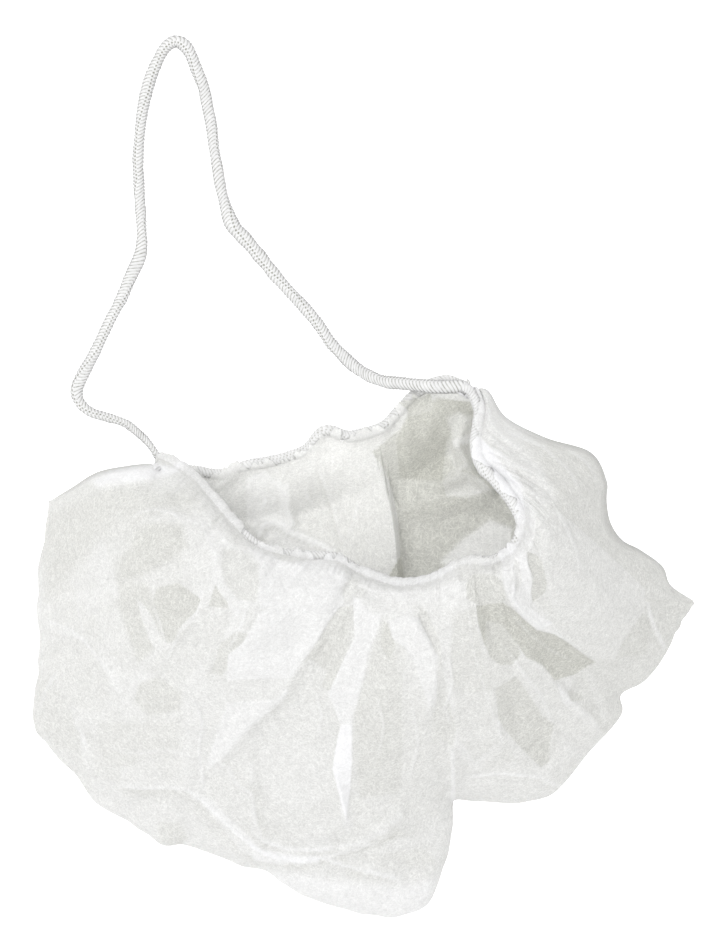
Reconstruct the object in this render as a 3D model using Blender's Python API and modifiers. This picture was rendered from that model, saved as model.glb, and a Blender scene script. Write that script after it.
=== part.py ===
"""Disposable beard cover, lying on a flat surface.

A thin nonwoven pouch with a gathered mouth, the ring of knitted elastic round the mouth, and the head
loop, a free elastic cord. Metres, +X across the pouch from the head loop's side, +Y from the pouch's
bottom to its mouth, +Z up. The origin is under the middle of the pouch, on the surface that it lies on.
"""

import math

import bmesh
import bpy
import numpy as np

# Driving sizes, in metres
POUCH_WIDTH = 0.2315  # left fold to right fold
POUCH_DEPTH = 0.1905  # lowest fold to the top of the mouth
POUCH_HEIGHT = 0.055  # what the heights in the tables are shares of
CLOTH_WALL = 0.0012  # wall of the pouch
FOLD_THICKNESS = 0.007  # outside height of the rounded outer fold
FOLD_RUN = 0.012  # how far in from the outer fold the front layer is still rounding over
UNDER_FOLD_RUN = 0.007  # the same for the back layer
BACK_DROP_RUN = 0.016  # how far in from the mouth the back layer reaches the surface
LAYER_CLEARANCE = 0.0025  # least open space between the two layers
ELASTIC_DIAMETER = 0.0044
JOINT_GAP = 0.0003  # between pieces that touch on the real cover
GATHER_PITCH = 0.0115  # along the mouth, from one gather to the next
GATHER_RISE = 0.0018
GATHER_REACH = 0.055  # how far from the mouth the gathers die out

# Mesh fineness
FANS = 54  # columns of cloth from the left corner of the mouth to the right corner
ROWS = 16  # rows of cloth from the mouth to the outer fold, in each layer
RING_POINTS = 96
CORD_POINTS = 60
CURVE_STEPS = 12  # points read from each stretch of a smooth curve
ROUND_SIDES = 2  # bevel_resolution of the elastic, 8 sides

# How the cloth leaves the elastic and meets its folds
EDGE_STANDOFF = ELASTIC_DIAMETER / 2 + 3 * JOINT_GAP  # from the elastic's middle to the cloth's edge
FRONT_TILT = math.radians(20)  # how steeply each layer leaves the elastic
BACK_TILT = math.radians(55)
CORNER_TILT = math.radians(35)
SQUARE_START = 0.05  # how strongly the cloth keeps its first direction out from the elastic
CORNER_REACH = 0.08  # share of the columns over which the tilts blend into a corner's
SIDE_REACH = 0.30  # share of the columns over which a side fold's bow dies out
SIDE_SETTLE = 0.5  # share of a side fold over which it comes down to the outer fold's height
RIM_ROWS = 0.12  # share of a layer over which its height still follows the mouth
FRONT_FADE = 0.008  # how far from the mouth each layer's folds reach their full height
BACK_FADE = 0.016
SLOPE_POWER = 1.6  # how late the front layer comes down
CROWN_POWER = 0.8  # how near the mouth its crown stands
DROP_POWER = 1.3  # how hollow the back layer's drop is

# Front edge of the mouth, from its left corner to its right corner
# across and up are shares of the pouch's width and depth, height of its height
FRONT_RIM = (
    # across, up, height
    (0.197, 0.836, 0.23),
    (0.216, 0.829, 0.31),
    (0.253, 0.794, 0.40),
    (0.306, 0.721, 0.56),
    (0.346, 0.680, 0.64),
    (0.404, 0.664, 0.64),
    (0.457, 0.658, 0.58),
    (0.498, 0.632, 0.55),
    (0.555, 0.610, 0.58),
    (0.608, 0.621, 0.67),
    (0.654, 0.651, 0.75),
    (0.694, 0.654, 0.78),
    (0.725, 0.682, 0.82),
    (0.737, 0.728, 0.84),
    (0.714, 0.779, 0.80),
    (0.679, 0.824, 0.73),
    (0.669, 0.860, 0.67),
    (0.673, 0.921, 0.58),
    (0.664, 0.956, 0.48),
    (0.650, 0.970, 0.41),
)

# Back edge of the mouth, from the right corner back to the left corner
BACK_RIM = (
    # across, up, height
    (0.646, 0.976, 0.31),
    (0.622, 0.984, 0.26),
    (0.578, 0.961, 0.25),
    (0.552, 0.928, 0.24),
    (0.525, 0.897, 0.25),
    (0.480, 0.882, 0.26),
    (0.442, 0.891, 0.27),
    (0.413, 0.857, 0.24),
    (0.374, 0.840, 0.21),
    (0.321, 0.827, 0.20),
    (0.290, 0.812, 0.17),
    (0.253, 0.818, 0.15),
    (0.219, 0.827, 0.14),
)

# Folds that bound the cloth, seen from above. A side fold runs from each corner of the mouth out to an
# end of the outer fold, which runs from left to right round the bottom.
LEFT_SIDE_FOLD = (
    # across, up
    (0.177, 0.831),
    (0.129, 0.825),
    (0.094, 0.814),
    (0.059, 0.787),
    (0.026, 0.763),
)
OUTER_FOLD = (
    # across, up
    (0.026, 0.763),
    (0.020, 0.713),
    (0.009, 0.627),
    (0.008, 0.553),
    (0.011, 0.489),
    (0.005, 0.415),
    (0.000, 0.360),
    (0.023, 0.314),
    (0.064, 0.259),
    (0.098, 0.208),
    (0.154, 0.167),
    (0.197, 0.132),
    (0.230, 0.132),
    (0.275, 0.112),
    (0.313, 0.094),
    (0.351, 0.083),
    (0.381, 0.057),
    (0.449, 0.022),
    (0.517, 0.002),
    (0.558, 0.000),
    (0.593, 0.020),
    (0.611, 0.057),
    (0.629, 0.121),
    (0.635, 0.180),
    (0.638, 0.211),
    (0.669, 0.210),
    (0.737, 0.210),
    (0.794, 0.232),
    (0.843, 0.305),
    (0.890, 0.371),
    (0.891, 0.408),
    (0.933, 0.441),
    (0.979, 0.535),
    (1.000, 0.579),
)
RIGHT_SIDE_FOLD = (
    # across, up
    (0.684, 0.967),
    (0.714, 0.917),
    (0.775, 0.879),
    (0.843, 0.853),
    (0.867, 0.801),
    (0.867, 0.765),
    (0.873, 0.724),
    (0.891, 0.691),
    (0.918, 0.673),
    (0.952, 0.643),
    (0.964, 0.608),
    (1.000, 0.579),
)

# Which part of the mouth's front and back edge the cloth at each place of the outer fold hangs from
CLOTH_FANS = (
    # outer fold, front rim, back rim: shares of their lengths, from left to right
    (0.000, 0.00, 0.00),
    (0.110, 0.10, 0.20),
    (0.185, 0.17, 0.30),
    (0.280, 0.30, 0.40),
    (0.375, 0.39, 0.49),
    (0.520, 0.48, 0.62),
    (0.595, 0.53, 0.68),
    (0.665, 0.575, 0.74),
    (0.785, 0.64, 0.79),
    (0.900, 0.70, 0.84),
    (0.955, 0.74, 0.88),
    (0.980, 0.775, 0.90),
    (1.000, 1.00, 1.00),
)

# How full the front layer stands, from the left corner of the mouth to the right corner
FRONT_CROWN = (
    # round the mouth, crown: share of the pouch's height above a plain slope
    (0.00, 0.20),
    (0.12, 0.30),
    (0.28, 0.22),
    (0.50, 0.18),
    (0.64, 0.12),
    (0.76, 0.10),
    (0.88, 0.20),
    (1.00, 0.22),
)

# Folds of each layer. A fold is a crest from start to end, falling off to its left and right side, as
# seen along it. across and up are shares of width and depth, the two run-outs shares of the depth, and
# rise is a share of the height, less than nothing for a valley.
FRONT_FOLDS = (
    # across0, up0, across1, up1, left run, right run, rise
    (0.495, 0.600, 0.482, 0.489, 0.030, 0.060, 0.16),  # centre ridge
    (0.482, 0.489, 0.452, 0.415, 0.030, 0.050, 0.15),
    (0.452, 0.415, 0.472, 0.351, 0.040, 0.040, 0.13),
    (0.465, 0.330, 0.468, 0.165, 0.022, 0.016, 0.13),  # standing pleat below it
    (0.480, 0.580, 0.431, 0.498, 0.020, 0.060, -0.14),  # valley left of the centre ridge
    (0.487, 0.585, 0.404, 0.452, 0.050, 0.020, 0.09),  # long crease to the lower left
    (0.404, 0.452, 0.328, 0.360, 0.060, 0.025, 0.12),
    (0.328, 0.360, 0.286, 0.296, 0.050, 0.030, 0.10),
    (0.287, 0.652, 0.300, 0.575, 0.030, 0.030, -0.12),  # tuck under the mouth's left part
    (0.300, 0.575, 0.345, 0.568, 0.030, 0.030, 0.09),
    (0.563, 0.581, 0.608, 0.489, 0.030, 0.050, 0.12),  # ridge right of the centre
    (0.608, 0.489, 0.611, 0.434, 0.025, 0.050, 0.12),
    (0.646, 0.581, 0.669, 0.507, 0.030, 0.060, 0.13),  # edge left of the right shadow
    (0.669, 0.507, 0.703, 0.342, 0.025, 0.060, 0.12),
    (0.690, 0.590, 0.730, 0.500, 0.050, 0.050, -0.16),  # shadow band to the lower right
    (0.730, 0.500, 0.840, 0.410, 0.040, 0.060, -0.14),
    (0.640, 0.415, 0.669, 0.283, 0.040, 0.020, 0.10),  # hanging loop fold
    (0.714, 0.664, 0.729, 0.562, 0.030, 0.025, 0.14),  # flap border of the right lobe
    (0.729, 0.562, 0.767, 0.526, 0.050, 0.018, 0.14),
    (0.767, 0.526, 0.858, 0.480, 0.060, 0.020, 0.13),
    (0.714, 0.526, 0.797, 0.415, 0.040, 0.030, 0.08),
    (0.797, 0.415, 0.850, 0.345, 0.040, 0.030, 0.06),
    (0.740, 0.760, 0.830, 0.690, 0.040, 0.050, 0.09),  # fan of the right lobe
    (0.690, 0.840, 0.800, 0.800, 0.040, 0.040, 0.08),
    (0.132, 0.627, 0.253, 0.590, 0.060, 0.040, -0.08),  # left lobe
    (0.102, 0.489, 0.124, 0.434, 0.040, 0.060, 0.09),
    (0.079, 0.360, 0.094, 0.250, 0.050, 0.040, 0.07),
    (0.180, 0.600, 0.120, 0.470, 0.060, 0.070, 0.08),
    (0.200, 0.720, 0.150, 0.620, 0.070, 0.050, 0.08),
    (0.132, 0.241, 0.237, 0.232, 0.030, 0.060, -0.05),  # lower hem of the front layer
    (0.336, 0.140, 0.404, 0.125, 0.020, 0.050, -0.06),
    (0.404, 0.125, 0.525, 0.158, 0.020, 0.050, -0.06),
    (0.635, 0.300, 0.640, 0.220, 0.050, 0.020, 0.10),  # step beside the lower lobe
)
BACK_FOLDS = (
    # across0, up0, across1, up1, left run, right run, rise
    (0.494, 0.790, 0.502, 0.720, 0.085, 0.085, 0.34),  # the fold that rises to the front rim
    (0.502, 0.720, 0.515, 0.640, 0.090, 0.090, 0.38),
    (0.515, 0.640, 0.525, 0.560, 0.080, 0.080, 0.24),
    (0.381, 0.790, 0.388, 0.710, 0.030, 0.040, 0.16),  # ridge in the left hollow
    (0.347, 0.700, 0.389, 0.718, 0.030, 0.020, 0.12),
    (0.655, 0.900, 0.640, 0.830, 0.030, 0.030, 0.16),  # bunched cloth near the right corner
    (0.555, 0.745, 0.690, 0.780, 0.020, 0.050, 0.10),  # crease across the right hollow
)

# Head loop, in metres: its route from the left corner of the mouth over the surface to the right corner
HEAD_LOOP_ROUTE = (
    (-0.0719, 0.0659, 0.0123),
    (-0.0738, 0.0689, 0.0112),
    (-0.0762, 0.0717, 0.0089),
    (-0.0790, 0.0741, 0.0060),
    (-0.0834, 0.0771, 0.0034),
    (-0.0894, 0.0794, 0.0024),
    (-0.0950, 0.0812, 0.0023),
    (-0.0989, 0.0843, 0.0023),
    (-0.1003, 0.0886, 0.0023),
    (-0.0985, 0.0938, 0.0023),
    (-0.0933, 0.1039, 0.0023),
    (-0.0863, 0.1179, 0.0023),
    (-0.0810, 0.1295, 0.0023),
    (-0.0779, 0.1372, 0.0023),
    (-0.0775, 0.1466, 0.0023),
    (-0.0786, 0.1589, 0.0023),
    (-0.0786, 0.1729, 0.0023),
    (-0.0772, 0.1862, 0.0023),
    (-0.0740, 0.1991, 0.0023),
    (-0.0702, 0.2079, 0.0023),
    (-0.0656, 0.2110, 0.0023),
    (-0.0614, 0.2079, 0.0023),
    (-0.0576, 0.1991, 0.0023),
    (-0.0541, 0.1869, 0.0023),
    (-0.0520, 0.1729, 0.0023),
    (-0.0502, 0.1606, 0.0023),
    (-0.0467, 0.1487, 0.0023),
    (-0.0411, 0.1414, 0.0023),
    (-0.0310, 0.1295, 0.0023),
    (-0.0212, 0.1183, 0.0023),
    (-0.0149, 0.1106, 0.0024),
    (-0.0096, 0.1032, 0.0036),
    (-0.0030, 0.0969, 0.0070),
    (0.0051, 0.0927, 0.0125),
    (0.0135, 0.0910, 0.0175),
    (0.0219, 0.0899, 0.0210),
    (0.0280, 0.0899, 0.0225),
    (0.0319, 0.0899, 0.0227),
)


def clear_scene():
    for old in list(bpy.data.objects):
        bpy.data.objects.remove(old, do_unlink=True)


def new_collection(name):
    collection = bpy.data.collections.new(name)
    bpy.context.scene.collection.children.link(collection)
    return collection


def new_material(name, colour, roughness):
    material = bpy.data.materials.new(name)
    material.use_nodes = True
    shader = material.node_tree.nodes["Principled BSDF"]
    shader.inputs["Base Color"].default_value = (*colour, 1.0)
    shader.inputs["Roughness"].default_value = roughness
    shader.inputs["Metallic"].default_value = 0.0
    material.diffuse_color = (*colour, 1.0)
    return material


def placed(rows):
    """Rows of shares as points in metres, about the middle of the pouch."""
    table = np.array(rows, float)
    if table.shape[1] == 2:
        table = np.column_stack([table, np.zeros(len(table))])
    middle = np.array([0.5, 0.5, 0.0])
    return (table - middle) * np.array([POUCH_WIDTH, POUCH_DEPTH, POUCH_HEIGHT])


def smooth_curve(points, closed=False):
    """A dense line on the Catmull-Rom curve through the points."""
    if closed:
        ring = np.vstack([points[-1:], points, points[:2]])
    else:
        ring = np.vstack([2 * points[0] - points[1], points, 2 * points[-1] - points[-2]])
    line = []
    for before, start, end, after in zip(ring, ring[1:], ring[2:], ring[3:]):
        for t in np.arange(CURVE_STEPS) / CURVE_STEPS:
            line.append(
                0.5
                * (
                    2 * start
                    + (end - before) * t
                    + (2 * before - 5 * start + 4 * end - after) * t**2
                    + (3 * start - before - 3 * end + after) * t**3
                )
            )
    line.append(ring[-2])
    return np.array(line)


def travelled_along(line):
    """How far along a line each of its points lies."""
    steps = np.linalg.norm(np.diff(line[:, :3], axis=0), axis=1)
    return np.concatenate([[0.0], np.cumsum(steps)])


def along(line, shares):
    """What a line holds at the given shares of its length: places, and directions if it has them."""
    travelled = travelled_along(line)
    wanted = np.asarray(shares) * travelled[-1]
    return np.column_stack([np.interp(wanted, travelled, column) for column in line.T])


def eased(value, low, high):
    t = np.clip((value - low) / (high - low), 0.0, 1.0)
    return t * t * (3 - 2 * t)


def distance_to_line(points, line):
    """Plan distance from each point to the nearest place on a line of points."""
    best = np.full(points.shape[:-1], np.inf)
    for start, end in zip(line[:, :2], line[1:, :2]):
        run = end - start
        t = np.clip(((points[..., :2] - start) @ run) / max(run @ run, 1e-12), 0, 1)
        gap = np.linalg.norm(points[..., :2] - start - t[..., None] * run, axis=-1)
        best = np.minimum(best, gap)
    return best


def fold_height(points, folds):
    """What the folds of one layer add to its height at each point."""
    crests = np.zeros(points.shape[:-1])
    valleys = np.zeros(points.shape[:-1])
    for across0, up0, across1, up1, left_run, right_run, rise in folds:
        start, end = placed([(across0, up0), (across1, up1)])[:, :2]
        run = end - start
        length = math.hypot(*run)
        away = points[..., :2] - start
        nearest = np.clip((away @ run) / length**2, 0, 1)
        side = away[..., 1] * run[0] - away[..., 0] * run[1]
        gap = np.linalg.norm(away - nearest[..., None] * run, axis=-1)
        reach = np.where(side > 0, left_run, right_run) * POUCH_DEPTH
        fall = np.clip(1 - gap / reach, 0, 1)
        height = rise * POUCH_HEIGHT * fall * fall * (3 - 2 * fall)
        crests = np.maximum(crests, height)
        valleys = np.minimum(valleys, height)
    return crests + valleys


def softened(height):
    """A layer's heights, each inner one moved halfway to the mean of its four neighbours."""
    soft = height.copy()
    around = (height[:-2, 1:-1] + height[2:, 1:-1] + height[1:-1, :-2] + height[1:-1, 2:]) / 4
    soft[1:-1, 1:-1] = (height[1:-1, 1:-1] + around) / 2
    return soft


def mouth_halves():
    """The elastic along the front and the back of the mouth, both from left to right.

    Each row holds a place on its middle line and the direction that it runs in there.
    """
    front = placed(FRONT_RIM)
    back = placed(BACK_RIM)
    ring = smooth_curve(np.vstack([front, back]), closed=True)
    around = np.roll(ring[:-1], -1, axis=0) - np.roll(ring[:-1], 1, axis=0)
    around = np.vstack([around, around[:1]])
    ring = np.hstack([ring, around])
    right_corner = CURVE_STEPS * (len(front) - 1)
    return ring[: right_corner + 1], ring[right_corner:][::-1]


def unit(vectors):
    return vectors / np.linalg.norm(vectors, axis=-1, keepdims=True)


def cloth_edge(rim, outer, tilt):
    """The cloth's edge beside the elastic, towards the outer fold, tilted down and square to the elastic."""
    places = rim[:, :3]
    around = unit(rim[:, 3:])
    towards = outer - places
    towards[:, 2] = 0
    leaving = np.cos(tilt)[:, None] * unit(towards)
    leaving[:, 2] -= np.sin(tilt)
    leaving -= np.sum(leaving * around, axis=1)[:, None] * around
    return places + EDGE_STANDOFF * unit(leaving)


def nearness(even):
    """How much each column follows the left and the right side fold."""
    return np.clip(1 - even / SIDE_REACH, 0, 1), np.clip(1 - (1 - even) / SIDE_REACH, 0, 1)


def plan_of_layer(rim, edge, outer, left_side, right_side, even, row):
    """Plan places of one layer's cloth, which leaves the elastic squarely, between its four edges."""
    down = row[None, :, None]
    plan = edge[:, None] * (1 - down) + outer[:, None] * down
    plan += unit(edge - rim[:, :3])[:, None] * SQUARE_START * down * (1 - down) ** 4
    left_bow = left_side - (edge[0] * (1 - row[:, None]) + outer[0] * row[:, None])
    right_bow = right_side - (edge[-1] * (1 - row[:, None]) + outer[-1] * row[:, None])
    near_left, near_right = nearness(even)
    return plan + near_left[:, None, None] * left_bow + near_right[:, None, None] * right_bow


def gathers(rim, out):
    """Height that the gathers add, from how far round the mouth and how far out from it the cloth is."""
    wave = np.sin(2 * math.pi * travelled_along(rim) / GATHER_PITCH)
    dying = np.clip(1 - out / GATHER_REACH, 0, 1) ** 2
    return GATHER_RISE * wave[:, None] * dying * eased(out, 0, GATHER_PITCH)


def pouch_layers():
    """Points of the front and the back layer, as arrays of columns and rows that share their side folds."""
    front_rim, back_rim = mouth_halves()
    fans = np.array(CLOTH_FANS)
    even = np.linspace(0, 1, FANS + 1)
    fan = np.interp(even, (fans[:, 0] + fans[:, 1]) / 2, fans[:, 0])
    row = np.linspace(0, 1, ROWS + 1)
    outer = along(placed(OUTER_FOLD), fan)
    corner_ness = np.maximum(1 - even / CORNER_REACH, 1 - (1 - even) / CORNER_REACH).clip(0, 1)
    layers = []
    for rim_line, column, tilt in ((front_rim, 1, FRONT_TILT), (back_rim, 2, BACK_TILT)):
        rim = along(rim_line, np.interp(fan, fans[:, 0], fans[:, column]))
        layers.append((rim, tilt + (CORNER_TILT - tilt) * corner_ness))
    left_corner = cloth_edge(front_rim[:1], placed(LEFT_SIDE_FOLD)[:1], np.array([CORNER_TILT]))
    right_corner = cloth_edge(front_rim[-1:], placed(RIGHT_SIDE_FOLD)[:1], np.array([CORNER_TILT]))
    left_side = along(np.vstack([left_corner, placed(LEFT_SIDE_FOLD)]), row)
    right_side = along(np.vstack([right_corner, placed(RIGHT_SIDE_FOLD)]), row)
    for side, corner in ((left_side, left_corner), (right_side, right_corner)):
        side[:, 2] = corner[0, 2] + (FOLD_THICKNESS / 2 - corner[0, 2]) * eased(row, 0, SIDE_SETTLE)
    outer[:, 2] = FOLD_THICKNESS / 2
    fold_line = np.vstack([left_side, outer, right_side[::-1]])

    near_left, near_right = (side[:, None] for side in nearness(even))
    middle = FOLD_THICKNESS / 2
    middle = middle + near_left * (left_side[:, 2] - middle) + near_right * (right_side[:, 2] - middle)
    grids = []
    for number, (rim, tilt) in enumerate(layers):
        edge = cloth_edge(rim, outer, tilt)
        edge[0] = left_corner[0]
        edge[-1] = right_corner[0]
        plan = plan_of_layer(rim, edge, outer, left_side, right_side, even, row)
        reach = np.linalg.norm((outer - edge)[:, :2], axis=1)[:, None]
        out = reach * row
        inside = distance_to_line(plan, fold_line)
        lip = edge[:, 2:3]
        if number == 0:
            crown = np.interp(even, *np.array(FRONT_CROWN).T)[:, None] * POUCH_HEIGHT
            slope = lip + (FOLD_THICKNESS - lip) * row**SLOPE_POWER
            level = slope + crown * np.sin(math.pi * row**CROWN_POWER)
            run, fade_run = FOLD_RUN, FRONT_FADE
            folds = FRONT_FOLDS
        else:
            level = lip * np.clip(1 - out / BACK_DROP_RUN, 0, 1) ** DROP_POWER
            run, fade_run = UNDER_FOLD_RUN, BACK_FADE
            folds = BACK_FOLDS
        roundness = np.sqrt(1 - (1 - np.clip(inside / run, 0, 1)) ** 2)
        roundness = 1 - (1 - roundness) * eased(row, 0, RIM_ROWS)
        height = middle + (level - middle) * roundness
        fade = eased(inside, 0, run) * eased(out, 0, fade_run)
        height += fade * (softened(fold_height(plan, folds)) + gathers(rim, out))
        if number == 0:
            under = fold_height(plan, BACK_FOLDS) + 2 * CLOTH_WALL + LAYER_CLEARANCE
            height = np.where(fade > 0.5, np.maximum(height, under), height)
        plan[..., 2] = np.maximum(height, 0)
        plan[:, 0] = edge
        plan[0] = left_side
        plan[-1] = right_side
        plan[:, -1] = outer
        grids.append(plan)
    return grids


def build_pouch(collection, material):
    front, back = pouch_layers()
    mesh = bmesh.new()
    front_points = [[mesh.verts.new(p) for p in column] for column in front]
    back_points = [
        [
            front_points[i][j] if i in (0, FANS) or j == ROWS else mesh.verts.new(p)
            for j, p in enumerate(column)
        ]
        for i, column in enumerate(back)
    ]
    for points, outward in ((front_points, 1), (back_points, -1)):
        for i in range(FANS):
            for j in range(ROWS):
                corners = [points[i][j], points[i][j + 1], points[i + 1][j + 1], points[i + 1][j]]
                mesh.faces.new(corners[::outward])
    data = bpy.data.meshes.new("pouch")
    mesh.to_mesh(data)
    mesh.free()
    data.shade_smooth()
    pouch = bpy.data.objects.new("pouch", data)
    collection.objects.link(pouch)
    wall = pouch.modifiers.new("cloth wall", "SOLIDIFY")
    wall.thickness = CLOTH_WALL
    wall.offset = -1
    data.materials.append(material)
    return pouch


def build_tube(name, points, closed, collection, material):
    """A round elastic along the points."""
    curve = bpy.data.curves.new(name, "CURVE")
    curve.dimensions = "3D"
    curve.bevel_depth = ELASTIC_DIAMETER / 2
    curve.bevel_resolution = ROUND_SIDES
    curve.use_fill_caps = not closed
    spline = curve.splines.new("POLY")
    spline.points.add(len(points) - 1)
    for place, point in zip(spline.points, points):
        place.co = (*point, 1.0)
    spline.use_cyclic_u = closed
    spline.use_smooth = True
    tube = bpy.data.objects.new(name, curve)
    collection.objects.link(tube)
    curve.materials.append(material)
    return tube


def build_mouth_elastic(collection, material):
    front, back = mouth_halves()
    ring = np.vstack([front, back[::-1]])
    points = along(ring, np.arange(RING_POINTS) / RING_POINTS)[:, :3]
    return build_tube("mouth_elastic", points, True, collection, material)


def build_head_loop(collection, material):
    route = smooth_curve(np.array(HEAD_LOOP_ROUTE))
    points = along(route, np.linspace(0, 1, CORD_POINTS))
    return build_tube("head_loop", points, False, collection, material)


def main():
    clear_scene()
    cover = new_collection("disposable_beard_cover")
    cloth = new_material("white nonwoven", (0.90, 0.91, 0.91), 0.85)
    elastic = new_material("white knitted elastic", (0.88, 0.88, 0.87), 0.80)
    build_pouch(cover, cloth)
    build_mouth_elastic(cover, elastic)
    build_head_loop(cover, elastic)


main()
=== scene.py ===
import math

import bmesh
import bpy
import numpy as np
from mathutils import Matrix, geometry


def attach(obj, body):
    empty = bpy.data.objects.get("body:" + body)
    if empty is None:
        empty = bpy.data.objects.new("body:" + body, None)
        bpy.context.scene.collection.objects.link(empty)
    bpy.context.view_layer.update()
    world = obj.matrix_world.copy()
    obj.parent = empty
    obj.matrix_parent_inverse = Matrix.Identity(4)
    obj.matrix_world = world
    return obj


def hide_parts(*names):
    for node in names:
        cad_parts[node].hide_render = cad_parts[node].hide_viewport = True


# Disposable beard cover, lying flat on a pale table.
# Tables are in millimetres: x across the pouch, y from its bottom to its mouth, z up from the table.
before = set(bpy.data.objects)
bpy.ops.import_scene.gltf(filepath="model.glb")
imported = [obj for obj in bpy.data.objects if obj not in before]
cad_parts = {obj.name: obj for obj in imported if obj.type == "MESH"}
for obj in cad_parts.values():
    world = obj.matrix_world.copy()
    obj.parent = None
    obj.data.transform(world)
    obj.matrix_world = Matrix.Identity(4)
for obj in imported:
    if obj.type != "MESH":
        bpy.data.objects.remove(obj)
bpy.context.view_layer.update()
mm = 0.001
print("frame loaded")

# camera, straight above the cover
cameraView = {
    "middle": (0.2, 59.2),  # the place on the table in the middle of the picture
    "height": 2500,
    "shownHeight": 332.5,  # how much of the table the picture shows from top to bottom
    "sensor": 36,
    "sees": 10000,  # how far away the camera still shows things
}


def makeCamera(view):
    data = bpy.data.cameras.new("cameraAbove")
    data.sensor_width = view["sensor"]
    data.lens = view["sensor"] * view["height"] / view["shownHeight"]
    data.clip_end = view["sees"] * mm
    camera = bpy.data.objects.new("cameraAbove", data)
    camera.location = [v * mm for v in (*view["middle"], view["height"])]
    bpy.context.scene.collection.objects.link(camera)
    bpy.context.scene.camera = camera


makeCamera(cameraView)
print("camera placed")


# lines and curves

def unit(vectors):
    return vectors / np.linalg.norm(vectors, axis=-1, keepdims=True)


def smoothCurve(points, closed=False, steps=12):
    # dense line on the Catmull-Rom curve through the points
    if closed:
        ring = np.vstack([points[-1:], points, points[:2]])
    else:
        ring = np.vstack([2 * points[0] - points[1], points, 2 * points[-1] - points[-2]])
    t = (np.arange(steps) / steps)[:, None]
    parts = []
    for before, start, end, after in zip(ring, ring[1:], ring[2:], ring[3:]):
        parts.append(
            0.5
            * (
                2 * start
                + (end - before) * t
                + (2 * before - 5 * start + 4 * end - after) * t**2
                + (3 * start - before - 3 * end + after) * t**3
            )
        )
    return np.vstack([*parts, ring[-2:-1]])


def travelledAlong(line):
    steps = np.linalg.norm(np.diff(line[:, :3], axis=0), axis=1)
    return np.concatenate([[0.0], np.cumsum(steps)])


def along(line, shares):
    # what a line holds at the given shares of its length
    travelled = travelledAlong(line)
    wanted = np.asarray(shares) * travelled[-1]
    return np.column_stack([np.interp(wanted, travelled, column) for column in line.T])


def fromRows(rows, shares):
    # what rows of share, value give at the shares
    return np.interp(shares, *np.array(rows).T)


def eased(value, low, high):
    # 0 below low and 1 above high, with a soft start and end
    t = np.clip((value - low) / (high - low), 0, 1)
    return t * t * (3 - 2 * t)


def addMesh(name, points, faces, attributes=(), normals=None):
    mesh = bpy.data.meshes.new(name)
    mesh.from_pydata((points * mm).tolist(), [], faces)
    for label, values in attributes:
        layer = mesh.attributes.new(label, "FLOAT", "POINT")
        layer.data.foreach_set("value", values.astype(np.float32))
    mesh.shade_smooth()
    mesh.validate()
    if normals is not None:
        mesh.normals_split_custom_set_from_vertices(normals.tolist())
    piece = bpy.data.objects.new(name, mesh)
    bpy.context.scene.collection.objects.link(piece)
    return piece


# knitted elastic, used for the head loop and for the ring round the mouth
knit = {
    "diameter": 4.4,
    "flatness": 0.92,  # height over width
    "coursePitch": 1.3,  # from one row of stitches to the next
    "bands": 2,  # broad bands of slanting stitches round the elastic, with a row of holes between them
    "slant": 0.6,  # how far a stitch runs along the elastic for each millimetre across it
    "holeWidth": 0.8,
    "relief": 0.58,  # how deep the gaps between the stitches are
    "yarnPower": 0.7,  # below 1 a yarn's top is broad and the gap beside it narrow
    "chainHeight": 0.85,  # of the yarn between two holes, as a share of the others
    "holeSide": (0.6, 1.3),  # where a hole's side starts and ends, in radii of the hole
    "bandSide": (0.5, 1.1),  # where the slanting stitches begin, in widths of a hole
    "bend": 3,  # how sharply the stitches bend over at the sides of a band
    "lowest": 0.7,  # height of the lowest stitch, as a share of the highest
    "unlike": 97,  # how many stitches have a height of their own
    "stitchSeed": 3,
    "twist": 0.0045,  # turns for each millimetre
    "wander": 0.16,  # turns by which the twist strays
    "wanderPlaces": 24,
    "stray": 0.3,  # how far the elastic strays to its sides
    "strayLength": 7,  # from one stray to the next
    "strayEnds": 0.04,  # share of the length near an end where it keeps to its line
    "lumps": (-0.1, 0.09),  # how much thinner and thicker it gets, as shares of its width
    "lumpPlaces": 90,
    "ringStep": 0.21,  # fineness of the mesh along the elastic
    "sides": 36,
}
# no two stitches stand equally high
stitchLift = np.random.default_rng(knit["stitchSeed"]).uniform(knit["lowest"], 1, knit["unlike"])


def stitchHeight(distance, turns, values):
    # 0 in the gaps between the yarns, 1 on top of a yarn
    width = math.pi * values["diameter"] / values["bands"]
    across = (np.mod(turns * values["bands"], 1) - 0.5) * width
    bent = np.tanh(across / width * values["bend"]) * width / values["bend"]
    phase = (distance + values["slant"] * bent) / values["coursePitch"]
    rung = np.abs(np.cos(math.pi * phase)) ** values["yarnPower"]
    fromEdge = width / 2 - np.abs(across)
    alongHole = (np.mod(phase + 0.5, 1) - 0.5) * values["coursePitch"]
    hole = np.hypot(fromEdge, alongHole) / (values["holeWidth"] / 2)
    edge = eased(fromEdge, *(values["holeWidth"] * share for share in values["bandSide"]))
    chain = values["chainHeight"] * eased(hole, *values["holeSide"])
    course = np.floor(phase + 0.5).astype(int) % len(stitchLift)
    return (chain * (1 - edge) + rung * edge) * stitchLift[course]


def scattered(chance, share, low, high, count):
    # chance values at evenly spread places, read at each share of the length
    return np.interp(share, np.linspace(0, 1, count), chance.uniform(low, high, count))


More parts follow.
